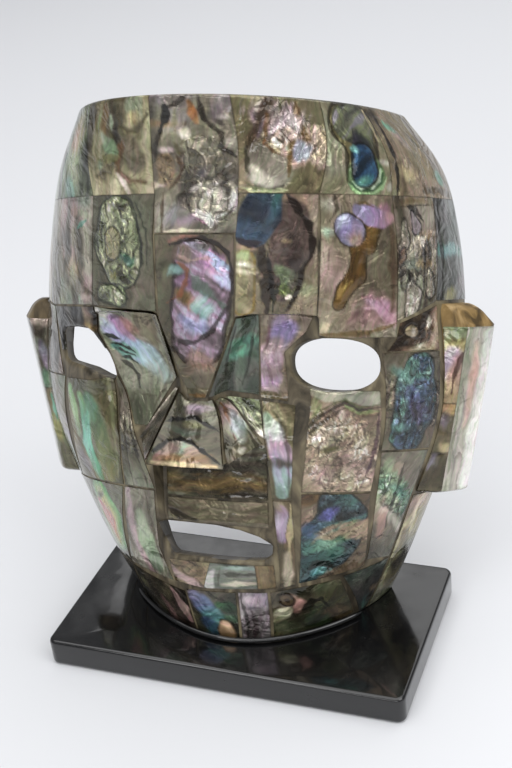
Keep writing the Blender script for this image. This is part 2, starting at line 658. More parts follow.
shows(
    "top_tile_middle",
    wash("45423a 6f6b60 8d897c a8a497", 75, 9, 5, 0.9, 0.25, (VIOLET, OLIVE)),
    patch(30, 14, 8, 9, 70, "7c7678 a09a9c", 2, 0.7),
    patch(25, 85, 7, 9, 80, "85848a 9c9b9c", 2),
    patch(6, 20, 2, 12, 88, "806640 a48a64", 0.8),
    patch(94.5, 34, 3.4, 5.5, 88, "a19e94 c0bdb2", 0.8),
    patch(85, 11, 7, 4, 60, "6f6670 8c848a c4bcc0", 1.4, 0.7),
    patch(72, 76, 15, 12, 60, "8a867a b8b4a8 dedad0", 2, 0.85),
    crumbled(70, 76, 17, 16, 60, 1, 1.7),
    crumbled(62, 50, 17, 16, 60, 0.75, 2.1),
    patch(50, 67, 3.4, 1.6, 30, "fbf8f0", 0.7),
    patch(66, 71, 2.4, 1.4, 40, "fbf8f0", 0.7),
    patch(58, 56, 5, 3, 40, "5c5860 706c70", 1.2, 0.7),
    blister([(15, 47, 2.6), (17, 60, 2.4)], "6f5f48 957f62 b09c80", 0, LINE, 0.15, crumbs=0.7, blur=1.2),
    stroke([(27, 42), (34, 50), (29, 60), (19, 68)], 1, "4c3418", blur=0.6),
    patch(2, 64, 2, 4, 85, "f4e8d0", 0.7),
    patch(10, 64.5, 3, 1.4, 0, "e0cfd0", 0.7),
    patch(66, 90, 4, 2.6, -50, "f4f0f2 ffffff", 0.8),
    patch(42, 91, 7, 3, 20, "9c88a0 c0a8bc", 1.8, 0.8),
    stroke([(50, 82), (58, 88), (69, 95)], 1.3, "fbf8f4", 0.2, 0.9),
    stroke([(52, 90), (64, 94)], 0.6, "8c5078", 0.3, 0.6),
    patch(40, 28, 3, 3, 60, "efe0c8 ffffff", 0.8),
    patch(18, 38.5, 3.4, 1.5, 0, "f4e4e4", 0.7),
    ribbon([(48, 5, 0.7), (52, 12, 1.2), (56, 20, 0.6)], "7c5428 a8662a b88c5c", 0.9),
    stroke([(48, 0), (34, 6), (19, 10)], 0.8, "1c140c", 0.2),
    stroke([(20, 10), (17, 17), (12, 25)], 2.3, "100c09", 0.3, 0.97),
    stroke([(12, 25), (6, 34), (2, 48)], 0.9, "2a2014", 0.2),
    stroke([(62, 0), (64, 17), (75, 23), (83, 28), (82, 38), (98, 44)], 1.1, "241c14"),
    patch(85, 20, 3.4, 2.6, 0, "3a3430 4a4444", 0.8),
    patch(90, 16, 3, 1.6, 0, "dcd6d2", 0.8),
    stroke([(28, 33), (32, 41), (41, 40)], 0.9, "4f4420", blur=0.7),
    stroke([(32, 10), (31, 26)], 0.9, "75704a", 0.3, 0.6, blur=0.8),
    stroke([(11, 70), (10, 100)], 0.9, "4c3a1c", 0.1),
    stroke([(97, 80), (88, 88), (74, 98)], 0.7, "3a342a", 0.2),
    patch(93, 94, 4, 6, 60, "77756a 8a887c", 0.8),
    stroke([(14, 99), (34, 98.5), (66, 98.5)], 0.9, "fbf2de", 0.1))
shows(
    "top_tile_right",
    wash("5d563f 7e7556 978c6e", 70, 12, 6, 0.7, play=0.1),
    patch(50, 30, 12, 18, 72, "857878 b0a2a4 cfc4c8", 1.5, grain=40),
    patch(82, 55, 10, 26, 85, "8c7458 c4a898 e0ccc4 d8c8a0", 1.5),
    crumbled(84, 50, 11, 34, 85, 1, 1.5),
    crumbled(50, 26, 13, 16, 75, 0.6, 1.5),
    stroke([(30, 14), (24, 34), (20, 46)], 3.4, "6c606c", 0.2, 0.9, blur=1.4),
    stroke([(44, 0), (31, 17), (17, 40), (8, 60)], 2.6, "473520", 0.2, 0.92, blur=1.2),
    ribbon([(22, 60, 3.4), (28, 72, 5), (40, 80, 5.4)], "6c6860 8a867c 9c988e", 1.4, 0.2, dome=0.2),
    stroke([(8, 56), (10, 76), (22, 92), (40, 96.5), (54, 92)], 0.9, "3d3a2a", 0.1, 0.9),
    ribbon([(15, 74, 0.8), (23, 84, 1.6), (34, 89, 1.4), (46, 90, 0.7)], "c8c4b8 f0ece0 e4e0d4 c4c0b4"),
    stroke([(36, 20), (31, 35), (30, 48), (39, 57), (50, 63)], 1, "65420e", 0.3, blur=0.6),
    stroke([(72, 6), (70, 20), (74, 38), (78, 44), (61, 51), (58, 63), (58, 84)], 1.5, "70500f", blur=0.8),
    patch(72, 58, 5, 5, 0, "a0a8b8 d8dce8", 1),
    patch(66, 30, 4, 4, 30, "ecd8dc ffffff", 1.2, 0.8),
    stroke([(2, 94), (30, 98.5), (60, 97)], 1, "d4dcb4", 0.2),
    stroke([(5, 86), (20, 96), (50, 96.5)], 0.5, "55603c", 0.1, 0.7))
shows(
    "top_tile_right_temple",
    wash("77735f 98937c b0ab98 b8bca4", 75, 12, 5, 0.8, play=0.15),
    patch(10, 70, 5, 10, 80, "a19e94 c0bdb2", 2, 0.6),
    blister([(40, 26, 6.6), (64, 24, 6.8), (57, 50, 5.6), (57, 76, 6)], "4c4526 6e673e 8a8458", 0.9,
        "2c240f", 0.1),
    blister([(60, 79, 6.4), (62, 80, 6.4)], "4c6440 6c8c5c 88a878", 0, LINE, 0, 0.1, blur=1.4),
    stroke([(34, 88), (50, 98.5), (70, 98.5), (84, 92), (92, 80)], 0.6, "b8dca8", 0.05),
    stroke([(38, 88), (52, 95), (70, 95), (82, 87), (86, 76)], 0.5, "284c34", 0.05),
    stroke([(40, 86), (54, 92.5), (70, 92), (79, 84), (83, 72)], 0.7, "e0f4dc", 0.05, 0.9),
    blister([(40, 25, 5.4), (62, 23, 5.8), (60, 38, 4.6)], "45463e 6b6d60 83896a 8c8a90", 0, LINE, 0.15,
        grain=35, rim=0.5),
    patch(60, 42, 8, 5, 10, "1a1a20 3a3a48", 1.2),
    blister([(57, 60, 4.2), (58, 75, 4.6)], "14283a 22486c 34648c 448894", 0.7, "0b0d0e", 0.22, 0.1,
        grain=30),
    patch(42, 52, 2.6, 2, 0, "7cc0bc", 0.7),
    patch(55, 84, 6, 2.6, 10, "3c8c84 68ac98", 1.2),
    stroke([(90, 8), (94, 40)], 1.2, "cfc4a0", 0.2, 0.8),
    patch(95, 64, 2, 5, 90, "faf7ee", 0.8),
    patch(95, 92, 3, 3.4, 90, "dcd9cf faf7ee", 0.8))
shows(
    "top_tile_right_side",
    wash("6b5f48 8f8268 aa9e84", 84, 14, 4, 0.8, play=0.15),
    patch(36, 36, 5, 9, 60, "a89c94 beb2aa", 1.2),
    patch(24, 72, 5, 9, 80, "c8b888 e0d4b0", 1.4),
    patch(26, 24, 3, 4.5, 75, "5ca48c 88bca4", 0.9),
    patch(74, 74, 5, 5, 60, "3c9478 6cb094", 0.9),
    crumbled(20, 60, 6, 12, 80, 0.4, 1.3),
    patch(5, 10, 4, 6, 80, "3c3020 5a4a34", 1.2),
    stroke([(45, 15), (70, 50), (86, 86)], 0.8, "4a4838", 0.2, 0.8),
    stroke([(10, 10), (10, 50), (6, 100)], 1.8, "1d160d", 0.2, 0.95),
    stroke([(40, 93), (70, 90), (100, 97)], 2, "5f5238", 0.3))
shows(
    "brow_tile_left_rear",
    wash(GREY, 84))
shows(
    "brow_tile_left_side",
    wash(OLIVE, 86, 16, 4))
shows(
    "brow_tile_left_temple",
    wash("4f4c42 79756a 98948a adaa9e", 87, 20, 4, 1, 0.35),
    patch(85, 16, 4, 8, 80, "94a48c aebca0", 1.2, 0.7),
    stroke([(74, 30), (90, 22)], 0.9, "4c9c84"),
    patch(45, 40, 5, 9, 80, "46443e 5c5a52", 2, 0.85),
    patch(60, 62, 5, 10, 80, "a08d6e bdae92", 2, 0.6),
    patch(70, 14, 4, 6, 80, "9c8078", 1.4, 0.6),
    patch(30, 98, 5, 6, 80, "828a70 a3ab90", 1.4, 0.7),
    patch(92, 86, 3, 6, 60, "2c2618 43391f", 1),
    stroke([(62, 30), (70, 60), (90, 80)], 0.8, "3a3324", strength=0.6))
shows(
    "brow_tile_left",
    wash("4a483a 5f5d4e 706e60", 88, 22, 3, 0.8, 0.05),
    blister([(42, 22, 7.6), (42, 42, 8.8), (50, 64, 7)], "59604a 8c9278 aab094 c4caae", 0.8, "1c1f13", 0.2,
        0.4, 1),
    blister([(36, 38, 3.2), (36, 48, 3)], "85826a a09c80 b0ac92", 0.5, "33351f", 0.12, 0.4),
    stroke([(14, 16), (8, 40), (20, 68), (30, 80)], 0.6, "23261a", 0.4),
    stroke([(22, 12), (17, 40), (26, 62)], 0.5, "2c3022", 0.4),
    stroke([(66, 10), (78, 30), (80, 60), (72, 78)], 0.7, "1f2218", 0.4),
    stroke([(72, 6), (88, 30), (87, 62)], 0.5, "2c3022", 0.4),
    patch(60, 57, 4, 6.5, 50, "1f5c4c 2f7c66 5ca088", 0.8),
    patch(62, 60, 1.6, 1.2, 0, "d8f0e4", 0.6),
    patch(39, 72, 4, 2.6, 30, "6c6a20 86822c", 0.8),
    blister([(20, 88, 2.6), (45, 90, 3.4)], "626a54 828a70 a3ab90 cdd3bb", 0.6, "23261a", 0.1, 0.4, 0.9),
    stroke([(6, 78), (40, 80), (62, 92)], 0.7, "1f2218", 0.3),
    stroke([(40, 86), (54, 92)], 0.9, "f2f4e6", 0.3))
shows(
    "bridge_tile",
    wash("4c483c 66604f 7a7462", 75, 12, 5, 0.8, 0.1),
    blister([(50, 15, 6.6), (58, 30, 8.6), (56, 48, 9), (54, 64, 8)], "5d5258 80727c a490a4 b0a8b8 b8b4c4",
        1.1, "22120a", 0.2, 0.3, grain=-38),
    patch(34, 13, 8, 6, -20, "6f6256 8a7c70", 1.4),
    patch(60, 9, 6, 4, 0, "524f4f 777373 9b9797", 1),
    crumbled(60, 9, 7, 4, 0, 0.7, 1.3),
    patch(72, 20, 10, 7, -40, "8c6c94 b890b8 d8b4cc b8c4e4", 1.4, 0.95, grain=-38),
    patch(86, 29, 6, 4, -40, "a4b4d4 ccd4ec", 1.2, 0.8, grain=-38),
    patch(24, 22, 5, 4.4, 0, "86aca8 bcd0cc", 1),
    patch(36, 30, 6, 4, -30, "a07ca0 bc9cb8", 1.2, 0.8),
    stroke([(42, 22), (60, 33), (86, 43)], 2.8, "5f6a64", 0.2, 0.9, blur=1.2),
    patch(34, 40, 6, 5, 0, "8c6c18 b08c2c", 1.2),
    patch(50, 42, 4, 4, 0, "c07850 b88090", 1.4, 0.85),
    patch(64, 45, 9, 5, -40, "7ca8a4 a8c4c0", 1.4, 0.8, grain=-38),
    patch(50, 54, 12, 5, -10, "8c90b4 b8c0dc c4b0c8", 1.6, 0.85, grain=-30),
    stroke([(30, 12), (42, 16.5), (66, 15), (78, 15)], 0.6, "bca49c", 0.25, 0.6),
    stroke([(20, 4), (38, 0.8), (60, 2)], 1.2, "a4705f", 0.15, 0.75, blur=0.9),
    stroke([(20, 6), (44, 4), (62, 2.5), (80, 6), (92, 12), (97, 24), (97, 40)], 1.3, "1f120a", 0.15, 0.95),
    stroke([(28, 17), (40, 22), (38, 30), (30, 37), (12, 42)], 1, "85481c", 0.25, blur=0.6),
    stroke([(0, 70), (12, 71), (23, 66), (50, 65), (76, 59), (95, 44)], 1.4, "180d07", 0.3),
    patch(60, 78, 10, 9, 60, "6e5448 8c7264 a08878", 2, 0.7),
    stroke([(10, 98.5), (90, 98.5)], 1, "6b4a18", 0.1))
shows(
    "bridge_side_right",
    wash("2c302a 4a524a 667066", 100, 18, 4, 0.9, 0.1),
    patch(55, 36, 4, 9, 100, "2f6a58 4c8c74"),
    patch(50, 50, 3, 5, 100, "3a9c80 6fc8a8", 1.5, 0.8),
    stroke([(90, 0), (60, 100)], 0.8, "22241c"),
    stroke([(10, 10), (20, 90)], 0.8, "1a1a14", 0.2))
shows(
    "socket_tile_right",
    wash("645848 85786a 9c9084 aca096", 100, 12, 6, 0.8, 0.15),
    patch(60, 5, 14, 3, 0, "988480 ac9c98", 1.5, 0.7),
    ribbon([(40, 12, 2.4), (52, 24, 3.6), (62, 38, 2.2)], "988ca0 8478a8 9084b0 948c9c", 2.6),
    ribbon([(42, 36, 2.4), (28, 52, 4.4), (22, 72, 4.2), (30, 87, 2.4)],
        "a09498 c4b0b4 c4b0c4 b8a4bc ac9ca0", 2.2),
    crumbled(40, 50, 7, 8, 90, 0.2, 1.4),
    stroke([(26, 60), (32, 72), (42, 82)], 0.6, "7a4f84", 0.3, 0.6),
    stroke([(24, 4), (18, 30), (20, 50)], 0.6, "6a4a54", 0.3, 0.6),
    patch(85, 65, 5, 18, 95, "6c5f50 80745f", 2.5, 0.8),
    stroke([(0, 93), (50, 97), (100, 100)], 1.8, "5f5434", 0.2))
shows(
    "socket_tile_left",
    wash("5c5e52 77796b 909182 a0a194", 105, 13, 6, 0.8, 0.1),
    patch(72, 13, 12, 10, 120, "544c3c 6f6754 7c7464", 2),
    ribbon([(6, 6, 2.4), (16, 20, 3), (32, 33, 3.8), (62, 44, 4), (80, 58, 2.8)],
        "d8dcd4 ccd4e8 b4b0dc acc4dc bccfd6 b0bcb8"),
    ribbon([(16, 11, 1), (32, 20, 1.9), (48, 29, 1.1)], "b098bc c094b8 b094a8", 1.8),
    ribbon([(34, 14, 0.8), (46, 19, 1.5), (56, 22, 1)], "b88c90 b08480 947c6c"),
    ribbon([(10, 35, 1.2), (26, 40, 2.4), (42, 41, 1.6)], "4c8c80 7cb0a4 98b8b0", 1.4),
    patch(50, 64, 9, 12, 110, "868a7a a4a696", 2, 0.7),
    stroke([(0, 24), (12, 28), (22, 30)], 0.8, "20261f", 0.5, 1),
    stroke([(4, 33), (20, 35), (34, 37), (42, 41)], 0.7, "20261f", 0.5, 1),
    stroke([(8, 38), (26, 41), (40, 44)], 0.6, "242c26", 0.5, 1),
    stroke([(12, 44), (28, 46), (40, 50)], 0.5, "242c26", 0.5, 1),
    stroke([(10, 47), (26, 52), (36, 60), (38, 70)], 0.8, "2c2a20", 0.3, 0.9),
    stroke([(92, 10), (94, 50), (86, 90)], 1.4, "5a564a", 0.2, 0.7, blur=0.8),
    stroke([(40, 76), (80, 76)], 0.4, "4c4c3c", 0.3, 0.6))
shows(
    "eyelid_tile_left",
    wash(DARK, 75, 14, 3, 1, 0.1),
    patch(85, 50, 4, 12, 70, "5c441c 866830 a98c50", strength=0.7))
shows(
    "temple_tile_left",
    wash(GREY, 86, 20, 3),
    patch(85, 50, 3, 18, 86, "302a21 474034 635b4a"))
shows(
    "temple_tile_right",
    wash("2f2318 5c4934 826d50 a08d6e bdae92", 20, 8, 4, 1.1),
    crumbled(60, 50, 10, 7, 0, 0.9, 1.3),
    blister([(27, 38, 2.2), (33, 42, 2)], "5a4c38 a09478 d8ceb8", 0.5, LINE, 0.25),
    patch(32, 42, 1.6, 3, 0, "faf7ee", 0.8),
    patch(72, 30, 2, 2, 0, "faf7ee", 0.8))
shows(
    "brow_tile_right",
    wash("5c5444 7e7462 978d7a", 80, 12, 6, 0.9, 0.15),
    patch(76, 6, 8, 5, 0, "8a7262 a48c7c"),
    patch(86, 80, 4, 12, 86, "74785e 8c9078", 1.4),
    patch(12, 43, 8, 1.8, 0, "a88c70 c0a488", 0.8),
    blister([(10, 54, 3), (10, 90, 3.2)], "8a8060 a8a080 b8b090", 0.5, "8c7424", 0.15, 0, grain=-30),
    patch(8, 50, 5, 3, 0, "bcd09c d4e0b8", 1),
    patch(8, 57, 5, 1.8, -10, "fffdf4", 0.8),
    patch(10, 62.5, 5, 1.6, -10, "fbf4e0", 0.8),
    patch(12, 60, 4, 0.9, -10, "6f6848", 0.7, 0.8),
    patch(12, 67, 5, 1, -10, "857c58", 0.8, 0.8),
    blister([(66, 20, 5.6), (70, 38, 6.6), (58, 60, 4.2), (56, 80, 3)], "2b2320 443936 5a4d48 665a54", 0,
        LINE, 0.1, 0.2, blur=1.2),
    ribbon([(34, -2, 5), (28, 14, 5.8), (20, 28, 5.4)], "2c4858 1e3044 1a2534 34506c", 1, 0.25),
    ribbon([(50, 0, 0.8), (46, 12, 1.2), (36, 24, 0.8)], "3c6c68 385868 2c4050"),
    stroke([(0, 35), (16, 40), (32, 38)], 1.3, "240e0a", 0.15),
    patch(62, 68, 6, 6, 60, "6f7a62 98a488", 1.2),
    patch(58, 78, 4, 5, 60, "5c7028 7c8c40", 1),
    crumbled(60, 78, 9, 12, 70, 0.7, 1.5),
    patch(63, 38, 1.2, 2.6, 90, "b09878", 0.8, 0.8),
    stroke([(34, 40), (37, 70), (40, 100)], 3.4, "2c2116", 0.3, 0.95, blur=0.9),
    stroke([(41, 40), (42, 70), (46, 96)], 1.1, "0f0a06"),
    stroke([(50, 72), (46, 86), (46, 100)], 0.9, "161a0c"),
    stroke([(60, 0), (74, 13), (90, 22), (95, 36), (92, 50), (81, 62), (77, 76), (64, 96)], 1.5, "22160d",
        0.2, 0.95, blur=0.6),
    stroke([(62, 86), (68, 84)], 0.9, "f6f2e8", 0.3))
shows(
    "brow_tile_right_temple",
    wash("5c5446 7f7564 978d7c a49a8a", 82, 13, 6, 0.9, 0.15),
    patch(12, 8, 4, 6, 84, "a19e94 c0bdb2", 1.2, 0.85),
    stroke([(20, 0), (22, 10), (12, 18)], 0.8, "3c3424"),
    patch(10, 25, 4.4, 3, 0, "98aca0 b4c0b4", 1),
    patch(14, 60, 6, 9, 70, "a08c88 b8a4a0", 2, 0.8),
    patch(74, 46, 7, 12, 80, "77705f 8c8574", 2, 0.8),
    patch(66, 84, 15, 11, 35, "84686a a08484 b89c9c a4948c", 2.4, 0.85, grain=35),
    ribbon([(60, 74, 1.2), (78, 78, 2.2), (95, 88, 1.6)], "a890a0 c8a4b8 b898a0", 2.4),
    stroke([(50, 72), (72, 72), (92, 84)], 0.5, "8a5a64", 0.3, 0.45),
    stroke([(46, 80), (68, 80), (86, 90)], 0.5, "ecccd8", 0.3, 0.45),
    stroke([(92, 20), (95, 50), (90, 80)], 2.2, "58442c", 0.3, 0.8, blur=1.4),
    patch(87, 14, 4, 5, 0, "c08ca8 d0a4b8", 1.4, 0.8),
    blister([(68, 22, 2.8), (58, 34, 3), (46, 38, 2.4), (46, 46, 2.2), (44, 56, 2.9), (30, 66, 2.2),
        (24, 76, 1.8)], "52390a 6a4c10 7c5c1c", 0.3, "33240a", 0.22, 0.1, rim=0.3),
    stroke([(22, 72), (26, 66), (38, 60)], 0.6, "b09040", 0.1, 0.7, blur=0.8),
    ribbon([(50, 10, 2), (66, 14, 3), (80, 17, 2.6), (92, 16, 1.8)], "8c88a4 a89cc4 a890b4 b89cac c8a0a8",
        1, 0.2),
    stroke([(46, 6), (60, 5), (80, 10)], 0.6, "6a5420", 0.2, 0.8),
    blister([(34, 22.5, 4.2), (38, 25, 4.6)], "807e9c 9896b4 a8a2b4", 0.4, "33291c", 0.27, 0.12, rim=0.4),
    ribbon([(30, 20, 2.4), (38, 24, 3), (42, 30, 2.2)], "b8bcd0 9890c0 a494a4 a89080", 2, 0.1),
    patch(10, 92, 4, 4, 0, "c8c0a0 e4dcc0", 1),
    stroke([(0, 98.5), (60, 96.5), (100, 90)], 1.4, "7a6230", 0.2))
shows(
    "brow_tile_right_side",
    wash("4a443a 736c60 958e82 ada69a", 86, 12, 4, 1, 0.15),
    patch(50, 5, 16, 3, 0, "5f4c28 80693c", 1.2),
    stroke([(0, 9), (100, 7)], 0.6, "33270f", 0.1),
    crumbled(50, 55, 18, 44, 88, 0.9),
    blister([(18, 20, 1.4), (16, 38, 2.6)], "8c877c a8a398 c4c0b6", 0.5, "18130d", 0.2, 0.9, 0.6),
    blister([(42, 16, 0.8), (50, 28, 2.4)], "736a70 8d8488 a8a0a4", 0.7, "14100b", 0.2, 0.6),
    stroke([(30, 8), (50, 13), (66, 22)], 1.5, "100c08", 0.3),
    blister([(15, 45, 1), (14, 52, 1.5)], "6f5a4c 8c7466", 0.9, "18100a", 0.2, 0.9),
    patch(40, 60, 4, 9, 84, "66706a 868e86", 1.2, 0.8),
    blister([(26, 74, 1.4), (33, 88, 3.4)], "8f8a80 b4afa4 dcd8ce", 0.6, "18130d", 0.24, 1, 0.8),
    blister([(80, 68, 1), (84, 86, 2.8)], "857f74 aaa498 ccc6ba", 0.6, "18130d", 0.22, 1, 0.7),
    patch(78, 34, 3, 6, 80, "8c6c48 b09478", 1.2, 0.7),
    patch(62, 60, 2.4, 8, 84, "5c441c 866830 a98c50", 1.2, 0.7),
    stroke([(62, 30), (66, 60), (60, 90)], 1.1, "14100b", 0.4),
    stroke([(0, 62), (22, 64), (30, 74)], 1, "14100b", 0.3),
    stroke([(60, 36), (62, 44)], 1, "f4efe6", 0.2),
    stroke([(24, 93), (34, 96)], 1, "f4efe6", 0.2))
shows(
    "brow_tile_right_rear",
    wash("2f2f2d 4c4d4a 686a66", 87, 26, 4, 0.9, 0.1),
    patch(40, 50, 4, 24, 88, "3f6468 6c9498 94b0ac", 1.5),
    patch(40, 95, 8, 5, 0, "8c8848 a8a468", 1.5, 0.8),
    stroke([(10, 0), (12, 100)], 1.6, "211f1a"))
shows(
    "cheek_tile_left_outer",
    wash("4a473e 716d60 928e80", 84, 22, 3.4, 1, 0.35, (VIOLET, TEAL)),
    patch(70, 50, 3, 26, 82, "9a9a8a b4b4a4", strength=0.6))
shows(
    "cheek_tile_left",
    wash("4c4a34 666244 78744e", 82, 16, 6, 0.8, 0.1),
    ribbon([(8, 10, 1.4), (16, 30, 2), (20, 55, 1.4)], "88b080 a8c49c 8c9c80"),
    patch(50, 7, 14, 5, 0, "4c504a 64645a", 2, 0.8),
    ribbon([(52, 20, 2.6), (66, 45, 3.4), (76, 75, 3.6), (80, 95, 2.4)], "5c8c74 4f6840 66703a 88843c", 2.4,
        strength=0.85),
    ribbon([(34, 16, 1.2), (42, 34, 2), (38, 62, 2.4), (54, 86, 2), (60, 98, 1.2)],
        "90b088 6cb498 78c8b4 58a880 548458", 1.4, 0.2),
    patch(28, 82, 7, 10, 70, "4a464c 746c74 a09498", 2, 0.8),
    stroke([(90, 0), (94, 50), (92, 100)], 1, "8c9070", 0.2, 0.6, blur=0.8))
shows(
    "cheek_tile_left_inner",
    wash("4c4a3c 68665a 838174", 100, 8, 4, 1, 0.1),
    crumbled(50, 50, 14, 40, 95, 0.9, 1.7),
    stroke([(40, 25), (30, 60), (35, 100)], 0.9, "2a2518"),
    stroke([(85, 30), (78, 70), (84, 100)], 0.9, "2a2518"))
shows(
    "cheek_tile_right_outer",
    wash("4a443a 5f584c 6c6458", 86, 20, 6, 0.7, 0.05),
    blister([(62, 18, 5.6), (54, 40, 7.2), (52, 62, 7.4), (45, 82, 6)],
        "1d2a2c 2a3c44 3c5460 4a5c78 56746f 7c9c94", 0.4, "24231d", 0.2, 0.4, 1),
    patch(30, 22, 3, 6, 65, "446c64 6c948c", 1.4, 0.7),
    patch(50, 44, 7, 8, 70, "34406c 6068a4", 1.5, 0.4),
    patch(66, 62, 6, 9, 70, "5c5888 9490c0", 1.5, 0.4),
    patch(24, 76, 2.2, 5, 80, "648c84", 1.2, 0.6),
    crumbled(50, 50, 16, 36, 86, 0.8, 1.1),
    crumbled(50, 50, 14, 34, 86, 0.4, 0.8))
shows(
    "cheek_tile_right",
    wash("6c5f50 91816f b0a08e c8b8a6", 60, 7, 5, 0.9, 0.3, (PINK, MOSS)),
    patch(70, 66, 10, 14, 60, "a88c8c c8b0b0", 2, 0.4),
    crumbled(50, 62, 26, 30, 40, 0.7, 0.95),
    crumbled(30, 40, 12, 12, 40, 0.6, 1.6),
    patch(34, 56, 5, 2, 15, "4c4a14 6a6624", 0.8),
    patch(30, 84, 7, 5, 0, "b791a0 d2b2be", 1.5, 0.3),
    patch(88, 72, 3, 7, 80, "4a4038 6c6058", 1, 0.7),
    ribbon([(-5, -2, 4), (20, -2, 4.6), (50, -5, 4.2), (80, 0, 4.6), (105, 0, 4.8)],
        "9c9c7c b0b0a0 c4c4b4 989890 b4b4a8 8c8c7c", 0.8, 0.1),
    patch(6, 20, 5, 5, 40, "98a078 b0b890", 1.2, 0.6),
    stroke([(0, 38), (14, 27), (36, 16), (50, 11), (68, 19), (100, 16)], 0.9, "2a2014", 0.08),
    stroke([(0, 44), (16, 33), (36, 21), (50, 16)], 0.8, "3a2f20", 0.1),
    stroke([(50, 14), (68, 22), (84, 20), (100, 19)], 0.7, "90a070", 0.08, 0.7),
    stroke([(0, 32), (14, 22), (36, 12), (50, 8), (68, 16), (100, 13)], 0.5, "4c5430", 0.1, 0.7),
    stroke([(97, 22), (94, 60), (82, 95)], 0.9, "3f2836", 0.2, 0.8))
shows(
    "cheek_tile_right_inner",
    wash("4a442f 675f45 7c745a", 96, 20, 6, 0.8, 0.05),
    patch(40, 12, 12, 5, -30, "7c7658 948e70", 1.6, 0.8),
    ribbon([(12, 14, 1.2), (36, 27, 2.8), (54, 45, 3.4), (62, 66, 3.1), (54, 93, 2)],
        "a8bca8 c8d0c8 ccccd0 c0a8b8 b8a8bc b4b4c8 a4b8b8 8ca098", 1, 0.15, dome=0.18),
    patch(87, 60, 4, 26, 92, "3c3628 4c4636", 1.4),
    stroke([(30, 4), (64, 20), (84, 44), (86, 95)], 0.9, "332c1c", 0.15, 0.7, blur=0.8),
    stroke([(2, 2), (40, 5), (70, 16)], 1.4, "a09880", 0.15, 0.7, blur=1))
shows(
    "nose_tile_front",
    wash("38372e 4d4b40 605d4f 706d5c", 5, 14, 6, 0.6, 0.05),
    patch(30, 6, 3, 2, 0, "f4eee0", 0.8),
    patch(66, 14, 8, 3, 5, "7c7080 988c98", 1.2),
    patch(58, 36, 6, 2, 0, "8c8c6c a4a480", 0.9),
    patch(50, 48, 12, 2.2, 0, "747c74 8c988c", 1, 0.8),
    ribbon([(16, 90, 2), (38, 78, 3.6), (56, 80, 3.2), (80, 95, 1.4)], "8c706c a09088 98a89c a48c84 8c7860",
        1, 0.1),
    patch(52, 88, 18, 3, 4, "7c5c34 a07c4c", 1.2, 0.95, 0.2),
    ribbon([(8, 95, 0.4), (50, 96.5, 0.8), (92, 96.5, 0.4)], "d8c8a8 e8d8b4 ccb488", 1, 0.05),
    stroke([(0, 42), (25, 34), (48, 26), (62, 25), (80, 34), (100, 52)], 0.9, "14110a", 0.05, 1, blur=0.3),
    stroke([(4, 80), (18, 66), (40, 59), (56, 61), (74, 74), (97, 93)], 1, "14110a", 0.05, 1, blur=0.3))
shows(
    "nose_tile_left",
    wash("2a2823 4f4c45 6f6b61 8d897e aeaa9f", 60, 14, 4))
shows(
    "nose_tile_right",
    wash("423f34 5c594c 76735f 8a887a", 110, 12, 5, 0.9, 0.1),
    patch(30, 30, 5, 9, 100, "5c4c44 7c6870", 1.4, 0.8),
    stroke([(30, 10), (46, 46), (40, 72)], 1.3, "6a400f", 0.1),
    ribbon([(66, 36, 1), (66, 56, 2.2), (60, 76, 1.6)], "7c8080 a8b0b4 a0a49c", 1.8),
    patch(45, 93, 3, 1.8, 0, "faf7ee", 0.7))
shows(
    "nose_wing_right",
    wash("1e2118 434838 626a54 828a70 a3ab90", 110, 12, 4),
    crumbled(50, 50, 14, 14, 100, 0.9, 1.5),
    patch(85, 85, 3, 3, 60, "faf7ee", 0.8))
shows(
    "lip_tile_upper",
    wash("3a362a 514d40 66614f", 2, 24, 3.2, 0.8, 0.05),
    ribbon([(0, 10, 1), (50, 14, 1.4), (100, 6, 1)], "6c6c60 8c8c80 6c6c60", 1, 0.05),
    ribbon([(5, 26, 0.7), (50, 31, 1), (95, 24, 0.7)], "5c5c50 74746a 5c5c50", 1, 0.05),
    patch(50, 47, 28, 4, 2, "14110a 221c10", 2.2, 0.95, 0.1),
    patch(50, 74, 44, 6, 2, "3f3012 66501f 856c3a", 1.6, 0.95, 0.1, grain=3),
    patch(6, 60, 4, 8, 90, "7a6430 8c7840"),
    stroke([(50, 95), (75, 90), (100, 93)], 0.9, "181208", 0.1, 0.8))
shows(
    "lip_tile_edge",
    wash("4a4436 665f4e 7c7562", 2, 24, 2.6, 0.9, 0.05),
    stroke([(0, 50), (12, 75), (30, 90)], 1.4, "2a2416", 0.1),
    stroke([(30, 30), (90, 55)], 0.6, "a09884", 0.1, 0.6))
shows(
    "lip_tile_lower_left",
    wash("4c3f28 6a5a3c 857458 98886c", 30, 10, 4, 0.9, 0.1),
    blister([(46, 34, 2), (54, 36, 2.2)], "66543a 84725a a09078", 0, LINE, 0.15, blur=1.4),
    stroke([(28, 30), (34, 56), (60, 66), (74, 50)], 0.5, "46371c", 0.2, 0.6),
    ribbon([(0, 40, 1), (20, 70, 1.3), (60, 86, 1.3), (95, 96, 0.8)], "948484 c4b0b0 a89898", 1.4))
